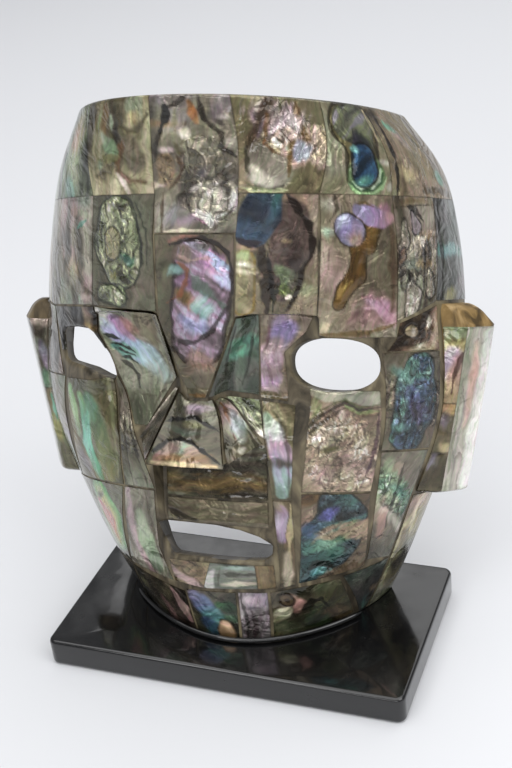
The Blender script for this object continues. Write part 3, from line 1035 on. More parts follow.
shows(
    "lip_tile_lower_middle",
    wash("565a55 70756f 868a84", 3, 26, 3, 0.8, 0.05),
    ribbon([(16, 26, 0.5), (10, 62, 1.3), (9, 86, 1.9)], "a8a8a8 d8d8d8 dcdcdc", 1),
    ribbon([(30, 17, 0.5), (62, 13, 0.8), (98, 16, 0.5)], "88948f a8b4b2 909c98", 0.9, 0.05),
    stroke([(20, 5), (60, 3), (100, 3)], 0.9, "2c3028", 0.1, 0.9),
    stroke([(26, 10), (27, 90)], 0.5, "4c4c44", 0.1, 0.8),
    stroke([(30, 40), (60, 42), (100, 38)], 1.3, "43443d", 0.1),
    stroke([(34, 58), (100, 56)], 0.7, "84887c", 0.1, 0.7),
    ribbon([(34, 84, 0.5), (60, 78, 0.8), (96, 76, 0.6)], "a8a89c d8d6c8 bcb8a8", 0.9, 0.1))
shows(
    "lip_tile_lower_right",
    wash("483a1c 68542e 7f6a42", 80, 14, 4, 0.9, 0.05))
shows(
    "jaw_tile_left_outer",
    wash("55554a 68665c 767468", 84, 18, 6, 0.6, 0.05),
    ribbon([(60, 14, 4.6), (68, 42, 6.8), (72, 72, 5.4)], "6c9c78 90b484 b8c08c c8b494 cc9c90", 1, 0.1,
        inwards=0.9),
    ribbon([(52, 28, 1.6), (66, 48, 3), (72, 68, 1.8)], "c8949c d0a09c c4a890", 2),
    patch(60, 18, 2.6, 5, -60, "44421f 5c5830", 0.8, 0.95, 0.1))
shows(
    "jaw_tile_left",
    wash("55524a 7f7c72 a19e94 b4b4a8", 80, 18, 4, 0.9, 0.15),
    ribbon([(12, 2, 1), (20, 40, 1.4), (36, 75, 1.6), (56, 98, 1.2)], "a89ca0 bcacb0 b49ca0", 1.8),
    ribbon([(50, 30, 1.6), (62, 60, 3.4), (72, 86, 3)], "9ca494 bcc8b4 a8bca0 98a494", 2),
    patch(66, 62, 1.6, 3, 60, "8ca080", 1, 0.6),
    stroke([(70, 5), (86, 40), (90, 80)], 1, "4c4636", 0.3, 0.7))
shows(
    "jaw_tile_left_rear",
    wash("1e2118 434838 626a54 828a70 a3ab90", 84))
shows(
    "chin_tile_left_outer",
    wash("0d0b08 1c1812 302a21 474034 635b4a", 60, 14, 5, 1, 0.05))
shows(
    "chin_tile_left",
    wash("0d0b08 1c1812 302a21 474034 635b4a", 70, 12, 5, 1, 0.05),
    patch(15, 20, 7, 3, -40, "777456 a09c78", 1.2, 0.7),
    ribbon([(52, 26, 0.8), (62, 48, 1.9), (68, 64, 0.8)], "6c5450 8c7470 544240", 0.9),
    ribbon([(78, 6, 0.8), (90, 30, 2), (96, 50, 0.8)], "8c7474 c8b0ac 987c78", 0.9))
shows(
    "chin_tile_middle",
    wash("262623 3c3c34 4c4a3c", 20, 10, 6, 0.9, 0.05),
    ribbon([(16, 8, 2), (32, 20, 3.4), (50, 40, 3.2), (62, 48, 1.6)],
        "8886a4 6c7298 587094 4c8490 609894 50786c", 1.8, 0.25),
    ribbon([(30, 50, 2), (50, 62, 2.4)], "2c4468 345c74 284c58"),
    ribbon([(66, 20, 1.2), (84, 24, 1.8), (98, 30, 1.2)], "2c6438 1c4428 28301c", 1.4),
    patch(86, 40, 5, 3, 160, "5c8468 80a088", 1.2, 0.7),
    stroke([(60, 80), (56, 60), (66, 46), (84, 48), (90, 70)], 1.2, "17120a", 0.1),
    ribbon([(72, 52, 1.8), (73, 62, 2.4), (74, 78, 2)], "e0bc9c c49c78 8c6c3c 54421f", 1.2, 0.1, dome=0.2))
shows(
    "chin_tile_right",
    wash("3f3c3c 666062 8a8488 a8a2a6", 70, 8, 5, 0.9, 0.2, (VIOLET, MOSS)),
    crumbled(50, 60, 10, 12, 80, 0.5, 2),
    patch(60, 16, 8, 5, 0, "8c8088 b8acb4 d0c4cc", 1.6, 0.8),
    stroke([(10, 0), (22, 50), (12, 100)], 0.9, "1c1a14"),
    stroke([(40, 30), (50, 60), (40, 80)], 0.9, "3c3034"))
shows(
    "chin_tile_right_outer",
    wash("26261a 3c3a28 54523a 6a654c", 50, 12, 6, 0.9, 0.1),
    ribbon([(4, 40, 2), (14, 32, 2.4), (20, 28, 1.4)], "8c8c70 ccccb8 b8b49c", 1, 0.2),
    ribbon([(28, 10, 1), (35, 20, 1.6), (30, 32, 0.9)], "a08478 c8a094 947064", 1.6, 0.2),
    blister([(20, 12, 2), (21, 16, 2.2)], "5c4a34 7c6850", 0.5, "2c1c0c", 0.15, blur=0.8, rim=0.4),
    blister([(20, 14, 0.8), (21, 15, 0.8)], "34281a 443622", 0, LINE, 0.1),
    patch(50, 45, 9, 10, 20, "232c1c 384a2e 4c5f42", 1.4, grain=40),
    stroke([(38, 30), (50, 20), (64, 20), (70, 34)], 1.6, "100f0a", 0.25),
    stroke([(30, 66), (50, 70), (64, 64)], 1.4, "100f0a", 0.25),
    patch(85, 45, 6, 16, 75, "5c4934 826d50", 2, 0.7),
    patch(92, 75, 5, 6, 75, "6f3c30 9a5c4c", 1.5, 0.5))
shows(
    "chin_tile_right_side",
    wash("1c1d1d 323431 484a44", 60, 12, 6, 0.9, 0.05),
    patch(40, 42, 7, 9, 40, "1c3a3c 345c5a 508070", 1.5, 0.8),
    patch(15, 65, 5, 9, 70, "1c3044 2c4c60", 1.5, 0.8),
    patch(60, 72, 11, 11, 40, "0a0a09 161512", 1.5),
    stroke([(40, 20), (60, 12)], 1.2, "100f0c", 0.2),
    patch(93, 30, 3, 10, 80, "826d50 a08d6e bdae92", 1.2, 0.7))
shows(
    "jaw_tile_right_inner",
    wash("453c26 68593a 7c6f50", 85, 18, 4, 0.9, 0.05),
    ribbon([(40, 10, 1.6), (38, 26, 2.6), (34, 42, 1.6)], "a894a4 c8bcd0 a898b0", 1.8, 0.2),
    patch(20, 4, 5, 4, 80, "a8a08c c8c0ac", 1, 0.8),
    stroke([(86, 2), (66, 40), (50, 50)], 0.9, "3a3018", 0.05),
    stroke([(95, 2), (74, 40), (64, 60), (60, 100)], 1.3, "b8ac84", 0.05),
    ribbon([(50, 62, 1), (52, 84, 1.6), (50, 98, 1)], "a8a090 c4bcac a8a090", 1.4))
shows(
    "jaw_tile_right",
    wash("4c4234 6a5c48 807058", 30, 12, 6, 0.8, 0.1),
    patch(14, 5, 10, 4, 20, "54390f 74582a", 1.2),
    blister([(50, 12, 5.6), (58, 30, 8), (44, 58, 9.4), (24, 90, 7)], "1a2426 2a3a40 3c5258 4c6868", 0.5,
        "1a1a14", 0.2, 0.3, 0.5, grain=25),
    ribbon([(30, 27, 1), (38, 25, 1.7), (48, 20, 1)], "3c4070 6468b8 4c4c80", 1.8),
    ribbon([(14, 40, 2.6), (36, 46, 3), (62, 44, 2.2)], "3c5878 4c7488 5c8c88 5c9c84", 2.2),
    ribbon([(12, 62, 1.8), (40, 60, 2.2), (66, 50, 2), (74, 36, 1.2)], "3c6c64 7ca890 4c8468 3c6c54", 1.8),
    ribbon([(10, 78, 2.2), (36, 76, 2.8), (56, 70, 1.8)], "28484a 2f6058 407868", 2),
    ribbon([(20, 90, 1.2), (32, 90, 1.4)], "58a0a8 70b4b4", 1),
    stroke([(12, 85), (24, 80), (40, 84), (50, 90)], 1.5, "12120c", 0.25),
    patch(95, 45, 6, 30, 97, "7c6450 98806c a89480", 1.2),
    crumbled(95, 60, 6, 30, 97, 0.6, 1),
    patch(60, 96, 14, 5, 15, "5c4c3a 7a6850", 1.4, 0.8),
    crumbled(45, 30, 14, 16, 97, 0.4, 1))
shows(
    "jaw_tile_right_outer",
    wash("55534a 6c685e 807c72", 66, 16, 6, 0.8, 0.1),
    ribbon([(18, 10, 1.6), (14, 36, 3), (8, 62, 2)], "949c88 90a888 a8b098 988c80", 2.2),
    ribbon([(40, 14, 1.4), (34, 42, 2.4), (24, 76, 1.4)], "a8a090 bca49c c09c98 988078", 2.2),
    patch(68, 40, 11, 30, 62, "34443c 50685c 7c9884 a0b098", 1.6, 0.95),
    crumbled(68, 42, 12, 32, 62, 1, 1.2),
    patch(62, 36, 4, 10, 62, "2f6c64 5c9c8c", 1.4, 0.6),
    stroke([(50, 10), (52, 40), (40, 70)], 1.2, "26281c", 0.3, 0.8),
    patch(92, 66, 3.6, 18, 62, "b8b8ac e0dfd8", 1.4, 0.85),
    patch(30, 92, 16, 6, 10, "45433a 5c594e", 2))
shows(
    "jaw_tile_right_rear",
    wash(OLIVE, 80, 16))
shows(
    "ear_tile_right_upper",
    wash("5c5434 787048 8c8462", 85, 14, 6, 0.8, 0.1),
    patch(50, 5, 12, 4, 0, "4c5c38 748458", 1, 0.8),
    patch(60, 14, 8, 4, 0, "8c9c80 b0b498", 1, 0.8),
    patch(62, 27, 8, 4, 0, "b0a85c ccc484", 1, 0.85),
    ribbon([(50, 36, 2.2), (42, 50, 3), (36, 64, 2)], "b0a8b0 b0a4b4 a89ca0", 2.2),
    ribbon([(86, 44, 1.4), (80, 64, 2.4), (60, 84, 2)], "a48c8c b09488 b09c7c", 2.2),
    ribbon([(50, 96, 1.6), (80, 92, 2.2)], "a08c6c ac9870", 1.8),
    stroke([(98, 36), (75, 56), (66, 85)], 1, "4c2c24", 0.2))
shows(
    "ear_tile_right_lower",
    wash("4a4430 5f5840 6c664c", 80, 14, 6, 0.8, 0.05),
    ribbon([(30, 2, 1.6), (85, 5, 1.8)], "b08c68 c4a064"),
    patch(35, 16, 7, 6, 0, "6c6470 8c8494", 1.8, 0.7),
    patch(50, 36, 11, 6, 0, "605840 706850", 1.6, 0.8),
    ribbon([(45, 46, 0.5), (75, 49, 1.2), (92, 50, 1.4)], "a09474 bcb088 b0a88c"),
    stroke([(0, 55), (50, 56), (100, 55)], 0.9, "2c2414", 0.05),
    ribbon([(26, 60, 0.9), (24, 70, 1.5)], "807c88 9c98a4", 2.2),
    patch(50, 82, 12, 9, 0, "3f3a28 524c36", 1.8))
shows(
    "ear_tile_right_outer",
    wash("94948a b0aea6 ccc8c2 e0deda", 90, 40, 4, 0.8, 0.1, (PINK, MOSS)),
    stroke([(12, 0), (10, 40), (14, 100)], 2.6, "8c9080", 0.2, 0.8, blur=1.4),
    ribbon([(40, 10, 0.8), (45, 30, 1.5), (40, 60, 0.8)], "c8b8ac d4b0a4 ccbcb4", 1.8),
    stroke([(30, 40), (26, 80), (30, 100)], 1.2, "9c9c96", 0.2, 0.8, blur=1),
    ribbon([(80, 5, 2), (78, 50, 2.6), (74, 95, 2.2)], "d8d8d8 f4f2f0 ffffff", 2))
shows(
    "ear_tile_left_upper",
    wash("57544a 77736a 8c8880 9c988e", 80, 12, 5, 0.9, 0.2),
    patch(50, 6, 9, 4, 0, "b4a8a0 d4c8c0", 1.2),
    patch(40, 20, 5, 4, 0, "3c342c 544a40", 1),
    ribbon([(40, 36, 0.8), (50, 50, 1.4), (66, 70, 0.9)], "706c78 9c98a8 b4a8b8", 2),
    patch(30, 88, 5, 5, 70, "5c8c6c 88ac88", 1.6, 0.8))
shows(
    "ear_tile_left_lower",
    wash("4c4c34 646446 7a7854", 80, 14, 6, 0.8, 0.1),
    patch(35, 12, 6, 7, 70, "5c5030 786a44", 1.8, 0.8),
    ribbon([(80, 10, 0.8), (76, 26, 1.2), (80, 40, 0.8)], "4c8c74 78b09c 5c8c74", 1.4),
    patch(50, 50, 7, 7, 70, "7c7c38 9c9850", 1.8, 0.8),
    patch(50, 82, 8, 7, 70, "56543f 6e6c54"))
shows(
    "ear_tile_left_outer",
    wash("4c4a3c 6a6858 848270 949280", 78, 12, 5, 1, 0.2, (VIOLET, MOSS)),
    patch(50, 6, 8, 5, 0, "a89c94 ccc0b8", 1.4, 0.8),
    patch(40, 20, 3, 5, 70, "302a21 474034", 1),
    patch(62, 38, 3, 9, 70, "74708c a09cb8", 1.6, 0.6),
    patch(40, 46, 4, 8, 70, "5c8c6c 88ac8c", 1.6, 0.7),
    patch(36, 60, 5, 9, 70, "6a5230 84693c", 1.6, 0.8),
    patch(60, 74, 6, 9, 70, "76763c 949054", 1.6, 0.8))

# Shell tiles of the face, each as rungs of a left and a right spot from its top to its bottom
TOP = MASK_HEIGHT
ROW_SEAM = 140
BROW_SEAM = 105
EAR_SEAM = EAR["root"] - 1.5
OVER_EAR = EAR["top"] + 0.8


def rung(left, right, z):
    """Rung between two places across the front at one height."""
    return [at(left, z), at(right, z)]


def tile_row(names, upper, lower):
    """Tiles side by side between seams that run down the face, given at their tops and bottoms."""
    return {name: [[upper[i], upper[i + 1]], [lower[i], lower[i + 1]]] for i, name in enumerate(names)}


TILES = {
    **tile_row(["top_tile_left_rear", "top_tile_left_side", "top_tile_left_temple", "top_tile_left"],
               [around(-90, TOP), around(-66, TOP), around(-47, TOP), at(-27, TOP), at(-3, TOP)],
               [around(-90, ROW_SEAM), around(-66, ROW_SEAM), around(-47, ROW_SEAM), at(-29, ROW_SEAM),
                at(-6, ROW_SEAM)]),
    "top_tile_middle": [rung(-3, 19, TOP), rung(-6, 18.5, ROW_SEAM), rung(-8.2, 17, 129)],
    **tile_row(["top_tile_right", "top_tile_right_temple", "top_tile_right_side"],
               [at(19, TOP), at(38, TOP), at(45.5, TOP), around(90, TOP)],
               [at(18.5, ROW_SEAM), at(39, ROW_SEAM), at(55.4, ROW_SEAM), around(90, ROW_SEAM)]),
    **tile_row(["brow_tile_left_rear", "brow_tile_left_side", "brow_tile_left_temple"],
               [around(-90, ROW_SEAM), around(-70, ROW_SEAM), around(-55, ROW_SEAM), at(-29, ROW_SEAM)],
               [around(-90, OVER_EAR), around(-EAR_SEAM, OVER_EAR), around(-53, 107), at(-35.5, 107.5)]),
    "brow_tile_left": [rung(-29, -6, ROW_SEAM), rung(-31.4, -8.8, 128.5),
        [at(-35.5, 107.5), at(-11.4, 106)]],
    "brow_tile_right": [rung(18.7, 39, ROW_SEAM), rung(16.4, 38, 128.5), rung(13.4, 36.5, BROW_SEAM)],
    **tile_row(["brow_tile_right_side", "brow_tile_right_rear"],
               [at(55.4, ROW_SEAM), around(74, ROW_SEAM), around(90, ROW_SEAM)],
               [at(56.8, 103.4), around(EAR_SEAM, OVER_EAR), around(90, OVER_EAR)]),
    "brow_tile_right_temple": [rung(39, 55.4, ROW_SEAM), rung(36.5, 56.8, BROW_SEAM),
        rung(36.2, 56.8, 98.7)],
    "bridge_tile": [rung(-8.2, 16, 128.7), rung(-10.8, 13, 104), rung(-3.2, 2.2, 80.5)],
    "bridge_side_right": [rung(13.8, 18.8, 104.4), [at(3, 80.8), at(16.8, 79)]],
    "socket_tile_right": [rung(19.2, 35, 104.4), rung(18.7, 32, 98.6), rung(18.2, 25.3, 92),
        [at(17.2, 78.4), at(25.4, 77.4)]],
    "socket_tile_left": [[at(-34.8, 107), at(-11.6, 105)], rung(-35.4, -10.7, 98), rung(-32.2, -9.8, 90),
        rung(-30.4, -9, 84), rung(-24.4, -19.8, 70)],
    "eyelid_tile_left": [[around(-52, 106.4), at(-35.4, 107)], [around(-49.6, 98), at(-36, 98)],
        [around(-48, 92.5), at(-33.6, 92.5)]],
    "temple_tile_left": [[around(-EAR_SEAM, 108), around(-52.6, 106.4)],
        [around(-EAR_SEAM, 84.4), around(-48.5, 84.4)]],
    "temple_tile_right": [[around(54, 102.9), around(EAR_SEAM, 108)],
        [around(52.5, 98.3), around(EAR_SEAM, 98.3)], [around(49.2, 94.6), around(EAR_SEAM, 94.6)]],
    "cheek_tile_left_outer": [[around(-EAR_SEAM, 84), around(-47.5, 84)],
        [around(-EAR_SEAM, 50), at(-54.5, 50)]],
    "cheek_tile_left": [rung(-51.8, -32.3, 83.6), rung(-53, -30.9, 66), rung(-54, -31.8, 50)],
    "cheek_tile_left_inner": [rung(-31.7, -31, 83.2), rung(-30.6, -27.2, 75), rung(-30.3, -24, 66),
        rung(-31.2, -19.4, 50)],
    "cheek_tile_right_outer": [[at(53, 94.2), around(EAR_SEAM, 94.2)],
        [at(51.4, 64.4), around(EAR_SEAM, 64.4)]],
    "cheek_tile_right": [rung(32.2, 52.2, 83), rung(28.4, 47.6, 51.4)],
    "cheek_tile_right_inner": [[at(17.5, 77.6), at(27.6, 76.4)], rung(19.6, 25.4, 49)],
    "nose_tile_front": [rung(-8.4, 4, 79.8), rung(-15, 10.6, 65.6)],
    "nose_tile_left": [rung(-10, -9, 80.6), [at(-22.8, 66.4), at(-15.6, 66)]],
    "nose_tile_right": [rung(4.6, 5.6, 79.4), [at(11.2, 66), at(18.4, 66.4)]],
    "nose_wing_right": [[at(6.6, 78.7), at(16.8, 77.8)], [at(17.4, 68.6), at(18.7, 68.2)]],
    "lip_tile_upper": [rung(-16, 17, 62.6), rung(-16.3, 17.3, 46.6)],
    "lip_tile_edge": [rung(-16.3, 17.3, 46), [at(-16.3, 39.4), at(17.3, 38.6)]],
    **tile_row(["lip_tile_lower_left", "lip_tile_lower_middle", "lip_tile_lower_right"],
               [at(-17.6, 26.6), at(-2.6, 26.7), at(12, 26.8), at(18, 27)],
               [at(-16.6, 18.8), at(-6, 17.6), at(12.2, 18.6), at(18, 18.8)]),
    "jaw_tile_left_outer": [[around(-EAR_SEAM, 49.4), at(-32.3, 49.4)],
        [around(-EAR_SEAM, 23), at(-36.5, 22)]],
    "jaw_tile_left": [rung(-31.5, -19.5, 49.4), rung(-34.4, -20.8, 30), [at(-35.8, 22), at(-17.4, 18.8)]],
    "jaw_tile_left_rear": [[around(-90, 48.8), around(-EAR["root"], 48.8)],
        [around(-90, 8), around(-EAR["root"], 8)]],
    "chin_tile_left_outer": [[around(-EAR_SEAM, 22.3), at(-36.5, 21.3)],
        [around(-EAR_SEAM, -6), at(-29, -6)]],
    "chin_tile_left": [[at(-35.7, 20.8), at(-13.4, 15.6)], rung(-28, -9.8, -6)],
    "chin_tile_middle": [[at(-12.8, 16.4), at(4.8, 17)], rung(-9, 3.6, -6)],
    "chin_tile_right": [[at(5.6, 17.2), at(15, 17.6)], rung(4.4, 12.6, -6)],
    "chin_tile_right_outer": [[at(15.8, 17.6), at(36.2, 22)], rung(13.4, 31, -6)],
    "jaw_tile_right_inner": [rung(19.8, 25.4, 48.4), [at(19, 19), at(23.8, 20.4)]],
    "jaw_tile_right": [rung(28.4, 47.4, 50.8), [at(24.6, 20.8), at(43, 25.6)]],
    "jaw_tile_right_outer": [[at(51.4, 63.8), around(EAR_SEAM, 63.8)],
        [at(49.6, 52.7), around(EAR_SEAM, 49.6)], [at(44, 28), around(EAR_SEAM, 28)]],
    "chin_tile_right_side": [[at(37, 22.8), around(EAR_SEAM, 27.4)], [at(31.8, -6), around(EAR_SEAM, -6)]],
    "jaw_tile_right_rear": [[around(EAR["root"], 48.8), around(90, 48.8)],
        [around(EAR["root"], 8), around(90, 8)]],
}


# Meshes
def add_piece(name, points, faces, material, shell=None, marks=None):
    """Makes a mesh object at the origin from points in millimetres and triangles. A tile's front and
    back both carry what was painted."""
    points = np.asarray(points, float) / MM
    mesh = bpy.data.meshes.new(name)
    mesh.vertices.add(len(points))
    mesh.vertices.foreach_set("co", points.reshape(-1))
    mesh.loops.add(faces.size)
    mesh.loops.foreach_set("vertex_index", faces.reshape(-1).astype(np.int32))
    mesh.polygons.add(len(faces))
    mesh.polygons.foreach_set("loop_start", np.arange(0, faces.size, 3, dtype=np.int32))
    mesh.update(calc_edges=True)
    mesh.validate()
    mesh.polygons.foreach_set("use_smooth", np.ones(len(mesh.polygons), bool))
    mesh.set_sharp_from_angle(angle=SHARP_ANGLE)
    marks = marks or []
    if shell is not None:
        rgba = np.column_stack([shell.colour, np.ones(len(shell.colour))])
        marks = [("shade", "FLOAT_COLOR", "color", np.tile(rgba, (2, 1))),
                 ("flow", "FLOAT_VECTOR", "vector", np.tile(shell.flow, (2, 1))),
                 ("crumb", "FLOAT", "value", np.tile(shell.crumb, 2))]
    for mark, kind, key, values in marks:
        mesh.attributes.new(mark, kind, "POINT").data.foreach_set(key, values.reshape(-1))
    mesh.materials.append(material)
    return show(name, mesh)


def tube(rings):
    """Closed solid over a stack of rings, each of which runs anticlockwise as seen from the last one,
    with a fan of triangles to the middle of the first and of the last."""
    count, around_ring = rings.shape[:2]
    spot = np.arange(count * around_ring).reshape(count, around_ring)
    beside = np.roll(spot, -1, axis=1)
    a, b, c, d = spot[:-1], beside[:-1], beside[1:], spot[1:]
    first, last = count * around_ring, count * around_ring + 1
    faces = np.concatenate([
        np.stack([a, b, c], -1).reshape(-1, 3),
        np.stack([a, c, d], -1).reshape(-1, 3),
        np.stack([np.full(around_ring, first), beside[0], spot[0]], -1),
        np.stack([np.full(around_ring, last), spot[-1], beside[-1]], -1),
    ])
    points = np.concatenate([rings.reshape(-1, 3), [rings[0].mean(axis=0), rings[-1].mean(axis=0)]])
    return points, faces


def edge_rounding(distance, radius):
    """How far a surface falls away near its rim: a quarter circle of the radius."""
    t = np.clip(1 - distance / radius, 0, 0.96)
    return radius * (1 - np.sqrt(1 - t * t))


def rim_distance(angle, x, z):
    """Distance from the rims of the face: the top, the rear, the eye holes and the mouth."""
    rear = (math.pi / 2 - np.abs(angle)) * 25
    return np.minimum(np.minimum(MASK_HEIGHT - z, rear), hole_distance(x, z))


def painted(name, spots, steps, widths, height, seed):
    """Paints a tile and darkens its seam line, which is the resin that shows through the pour."""
    shell = Shell(spots, steps, widths, height, seed)
    for paint in PAINT[name]:
        paint(shell)
    show_layers(shell)
    shell.colour = shell.colour * (1 + 0.32 * shell.streaks(74) + 0.2 * shell.waver(1.3, 2, 75))[:, None]
    edge = np.minimum(np.minimum(shell.u, 1 - shell.u) * shell.local_width,
                      np.minimum(shell.v, 1 - shell.v) * height)
    seam_shown = 0.2 + 0.5 * soft(shell.waver(9, 2, 60) * 4 + 0.5)
    shell.cover(linear("40361f"), soft((0.32 - edge) / 0.3) * seam_shown)
    shell.colour = enrich(shell.colour)
    shell.crumb = shell.crumb * soft(edge / 0.8)
    shell.rise = np.clip(shell.rise, -0.25, 0.27) * soft(edge / 1.2)
    return shell


def face_tile(name, rungs, seed, material):
    """Tile on the face: the patch just under the skin, cut out at the holes and along the slab."""
    spots, faces, steps, widths, height = tile_patch(rungs)
    x, _, z = skin(spots[:, 0], spots[:, 1])
    level = hole_distance(x, z)
    if level.min() < 0:
        spots, faces = clipped(spots, faces, level)
    foot = in_place(*skin(spots[:, 0], spots[:, 1], POUR))[:, 2] - SLAB["height"] - GLUE_GAP
    if foot.min() < 0:
        spots, faces = clipped(spots, faces, foot)
    angle, up = spots[:, 0], spots[:, 1]
    shell = painted(name, spots, steps, widths, height, seed)
    x, _, z = skin(angle, up)
    depth = POUR - shell.rise + edge_rounding(rim_distance(angle, x, z), RIM_RADIUS)
    solid = wall_of(angle, up, faces, depth, TILE_THICKNESS)
    return add_piece("shell_" + name, *solid, material, shell)


# Ears
def ear_curve(side, s, z, drawn_in):
    """Outside of an ear at each height: a line from the root (0) over the ridge (1) and the edge (2) to
    the rear rim (3), its corners rounded by taking the mean over a stretch on either side."""
    z = np.asarray(z, float)
    heights = [EAR["bottom"], EAR["shoulder"], EAR["top"]]
    edge = np.array([EAR["edge_bottom"], EAR["edge_shoulder"], EAR["edge_top"]])
    edge_x, edge_y = np.interp(z, heights, edge[:, 0]), np.interp(z, heights, edge[:, 1])
    root_x, root_y, _ = skin(np.full(z.shape, math.radians(EAR["root"])), z, drawn_in)
    rear_x, rear_y, _ = skin(np.full(z.shape, math.pi / 2), z, drawn_in)
    ridge_x = edge_x - EAR["ridge_in"] - drawn_in * 0.45
    corner_x = np.stack([root_x, ridge_x, edge_x - drawn_in * 1.1, rear_x])
    corner_y = np.stack([root_y + drawn_in, edge_y - EAR["ridge_ahead"] + drawn_in, edge_y, rear_y])
    x, y = 0.0, 0.0
    offsets = np.linspace(-0.24, 0.24, 9)
    for offset in offsets:
        place = np.clip(s + offset, 0, 3)
        k = np.minimum(place.astype(int), 2)
        t = place - k
        pick = np.arange(z.size).reshape(z.shape)
        flat_x, flat_y = corner_x.reshape(4, -1), corner_y.reshape(4, -1)
        x = x + mix(flat_x[k, pick], flat_x[k + 1, pick], t) / len(offsets)
        y = y + mix(flat_y[k, pick], flat_y[k + 1, pick], t) / len(offsets)
    return side * x, y, z


def ear_tile(name, side, s_range, z_range, seed, material):
    """Tile on an ear: a patch of its outside between two places round it and two heights."""
    low, high = z_range
    height = high - low - SEAM
    columns, rows = 32, int(height / CELL) + 2
    u, v = np.meshgrid(np.linspace(0, 1, columns), np.linspace(0, 1, rows))
    turned = u if side > 0 else 1 - u
    s = mix(s_range[0], s_range[1], turned)
    z = high - SEAM / 2 - v * height
    middle = np.array([(low + high) / 2])
    ends = [np.stack(ear_curve(side, np.array([value]), middle, 0)) for value in s_range]
    width = float(np.linalg.norm(ends[1] - ends[0]))
    spots = np.stack([s, z, u, v], -1).reshape(-1, 4)
    faces = grid_faces(rows, columns)
    shell = painted(name, spots, np.array([0, 1]), np.array([width, width]), height, seed)
    top = EAR["shoulder"] if high == EAR["shoulder"] else 1e3
    rim = np.minimum(top - spots[:, 1], spots[:, 1] - EAR["bottom"])
    depth = POUR - shell.rise + edge_rounding(rim, EAR_RIM["tile"])
    front = in_place(*ear_curve(side, spots[:, 0], spots[:, 1], depth))
    back = in_place(*ear_curve(side, spots[:, 0], spots[:, 1], np.full(len(spots), TILE_THICKNESS)))
    return add_piece("shell_" + name, *walled(front, back, faces), material, shell)


def ear_body(side):
    """Resin of an ear: its rounded outside closed by two lines inside the wall of the face."""
    heights = np.concatenate([np.linspace(EAR["bottom"], EAR["shoulder"], 44),
                              np.linspace(EAR["shoulder"] + 0.5, EAR["top"] - 0.2, 16)])
    s = np.linspace(0, 3, 64)
    z, s_grid = np.meshgrid(heights, s, indexing="ij")
    inset = edge_rounding(np.minimum(EAR["top"] - z, z - EAR["bottom"]), EAR_RIM["resin"])
    x, y, up = ear_curve(side, s_grid, z, RESIN_SUNK + inset)
    rings = [in_place(x, y, up)]
    for degrees in (90, EAR["root"]):
        x, y, up = skin(np.full(len(heights), math.radians(degrees)), heights, EAR_ROOT_DEPTH)
        rings.append(in_place(side * x, y, up)[:, None])
    rings = np.concatenate(rings, axis=1)
    return tube(rings if side > 0 else rings[:, ::-1])


# Resin casting
def resin_patch():
    """Grid over the whole face: columns at even x in front and at even angles at the sides."""
    heights = np.linspace(RESIN_GRID["foot"], MASK_HEIGHT, RESIN_GRID["rows"])[::-1]
    half = np.minimum(RESIN_GRID["front_half"], 0.9 * through(HALF_WIDTHS, heights))[:, None]
    x = LIP_RECESS["x"] + np.linspace(-1, 1, RESIN_GRID["front_columns"])[None] * half
    in_front = np.arcsin(x / through(HALF_WIDTHS, heights)[:, None])
    t = np.linspace(0, 1, RESIN_GRID["side_columns"])[None]
    left = mix(-math.pi / 2, in_front[:, :1], t)[:, :-1]
    right = mix(in_front[:, -1:], math.pi / 2, t)[:, 1:]
    angle = np.concatenate([left, in_front, right], axis=1)
    z = np.broadcast_to(heights[:, None], angle.shape)
    return np.stack([angle, z], -1).reshape(-1, 2), grid_faces(*angle.shape)


def resin_face(material):
    """The casting: the patch sunk under the tiles' fronts, its inside an even wall behind, and the ears."""
    spots, faces = resin_patch()
    x, _, z = skin(spots[:, 0], spots[:, 1], 0, resin_relief)
    spots, faces = clipped(spots, faces, hole_distance(x, z))
    front = in_place(*skin(spots[:, 0], spots[:, 1], RESIN_SUNK, resin_relief))
    spots, faces = clipped(spots, faces, front[:, 2] - SLAB["height"] - GLUE_GAP)
    angle, up = spots.T
    x, _, z = skin(angle, up, 0, resin_relief)
    depth = RESIN_SUNK + edge_rounding(rim_distance(angle, x, z), RIM_RADIUS)
    parts = [wall_of(angle, up, faces, depth, INSIDE_DEPTH, resin_relief, inside_relief),
             ear_body(1), ear_body(-1)]
    face_end, right_end, count = np.cumsum([len(points) for points, _ in parts])
    points = np.concatenate([points for points, _ in parts])
    faces = np.concatenate([faces + start for (_, faces), start in zip(parts, (0, face_end, right_end))])
    warm, behind = np.zeros(count), np.zeros(count)
    warm[face_end:right_end] = 1
    warm[right_end:] = 0.25
    behind[face_end // 2:face_end] = 0.8
    return add_piece("resin_casting", points, faces, material,
                     marks=[("warm", "FLOAT", "value", warm), ("behind", "FLOAT", "value", behind)])


# Slab and bead
def rounded_outline(inset):
    """Outline of the slab, drawn in by an inset: four quarter circles at the corners."""
    radius = max(SLAB["corner"] - inset, 0.05)
    turn = np.linspace(0, math.pi / 2, CORNER_POINTS)
    corners = []
    for quarter, (sx, sy) in enumerate([(1, 1), (-1, 1), (-1, -1), (1, -1)]):
        angle = turn + quarter * math.pi / 2
        middle_x = sx * (SLAB["width"] / 2 - SLAB["corner"])
        middle_y = sy * (SLAB["depth"] / 2 - SLAB["corner"])
        corners.append(np.stack([middle_x + radius * np.cos(angle), middle_y + radius * np.sin(angle)], -1))
    return np.concatenate(corners)


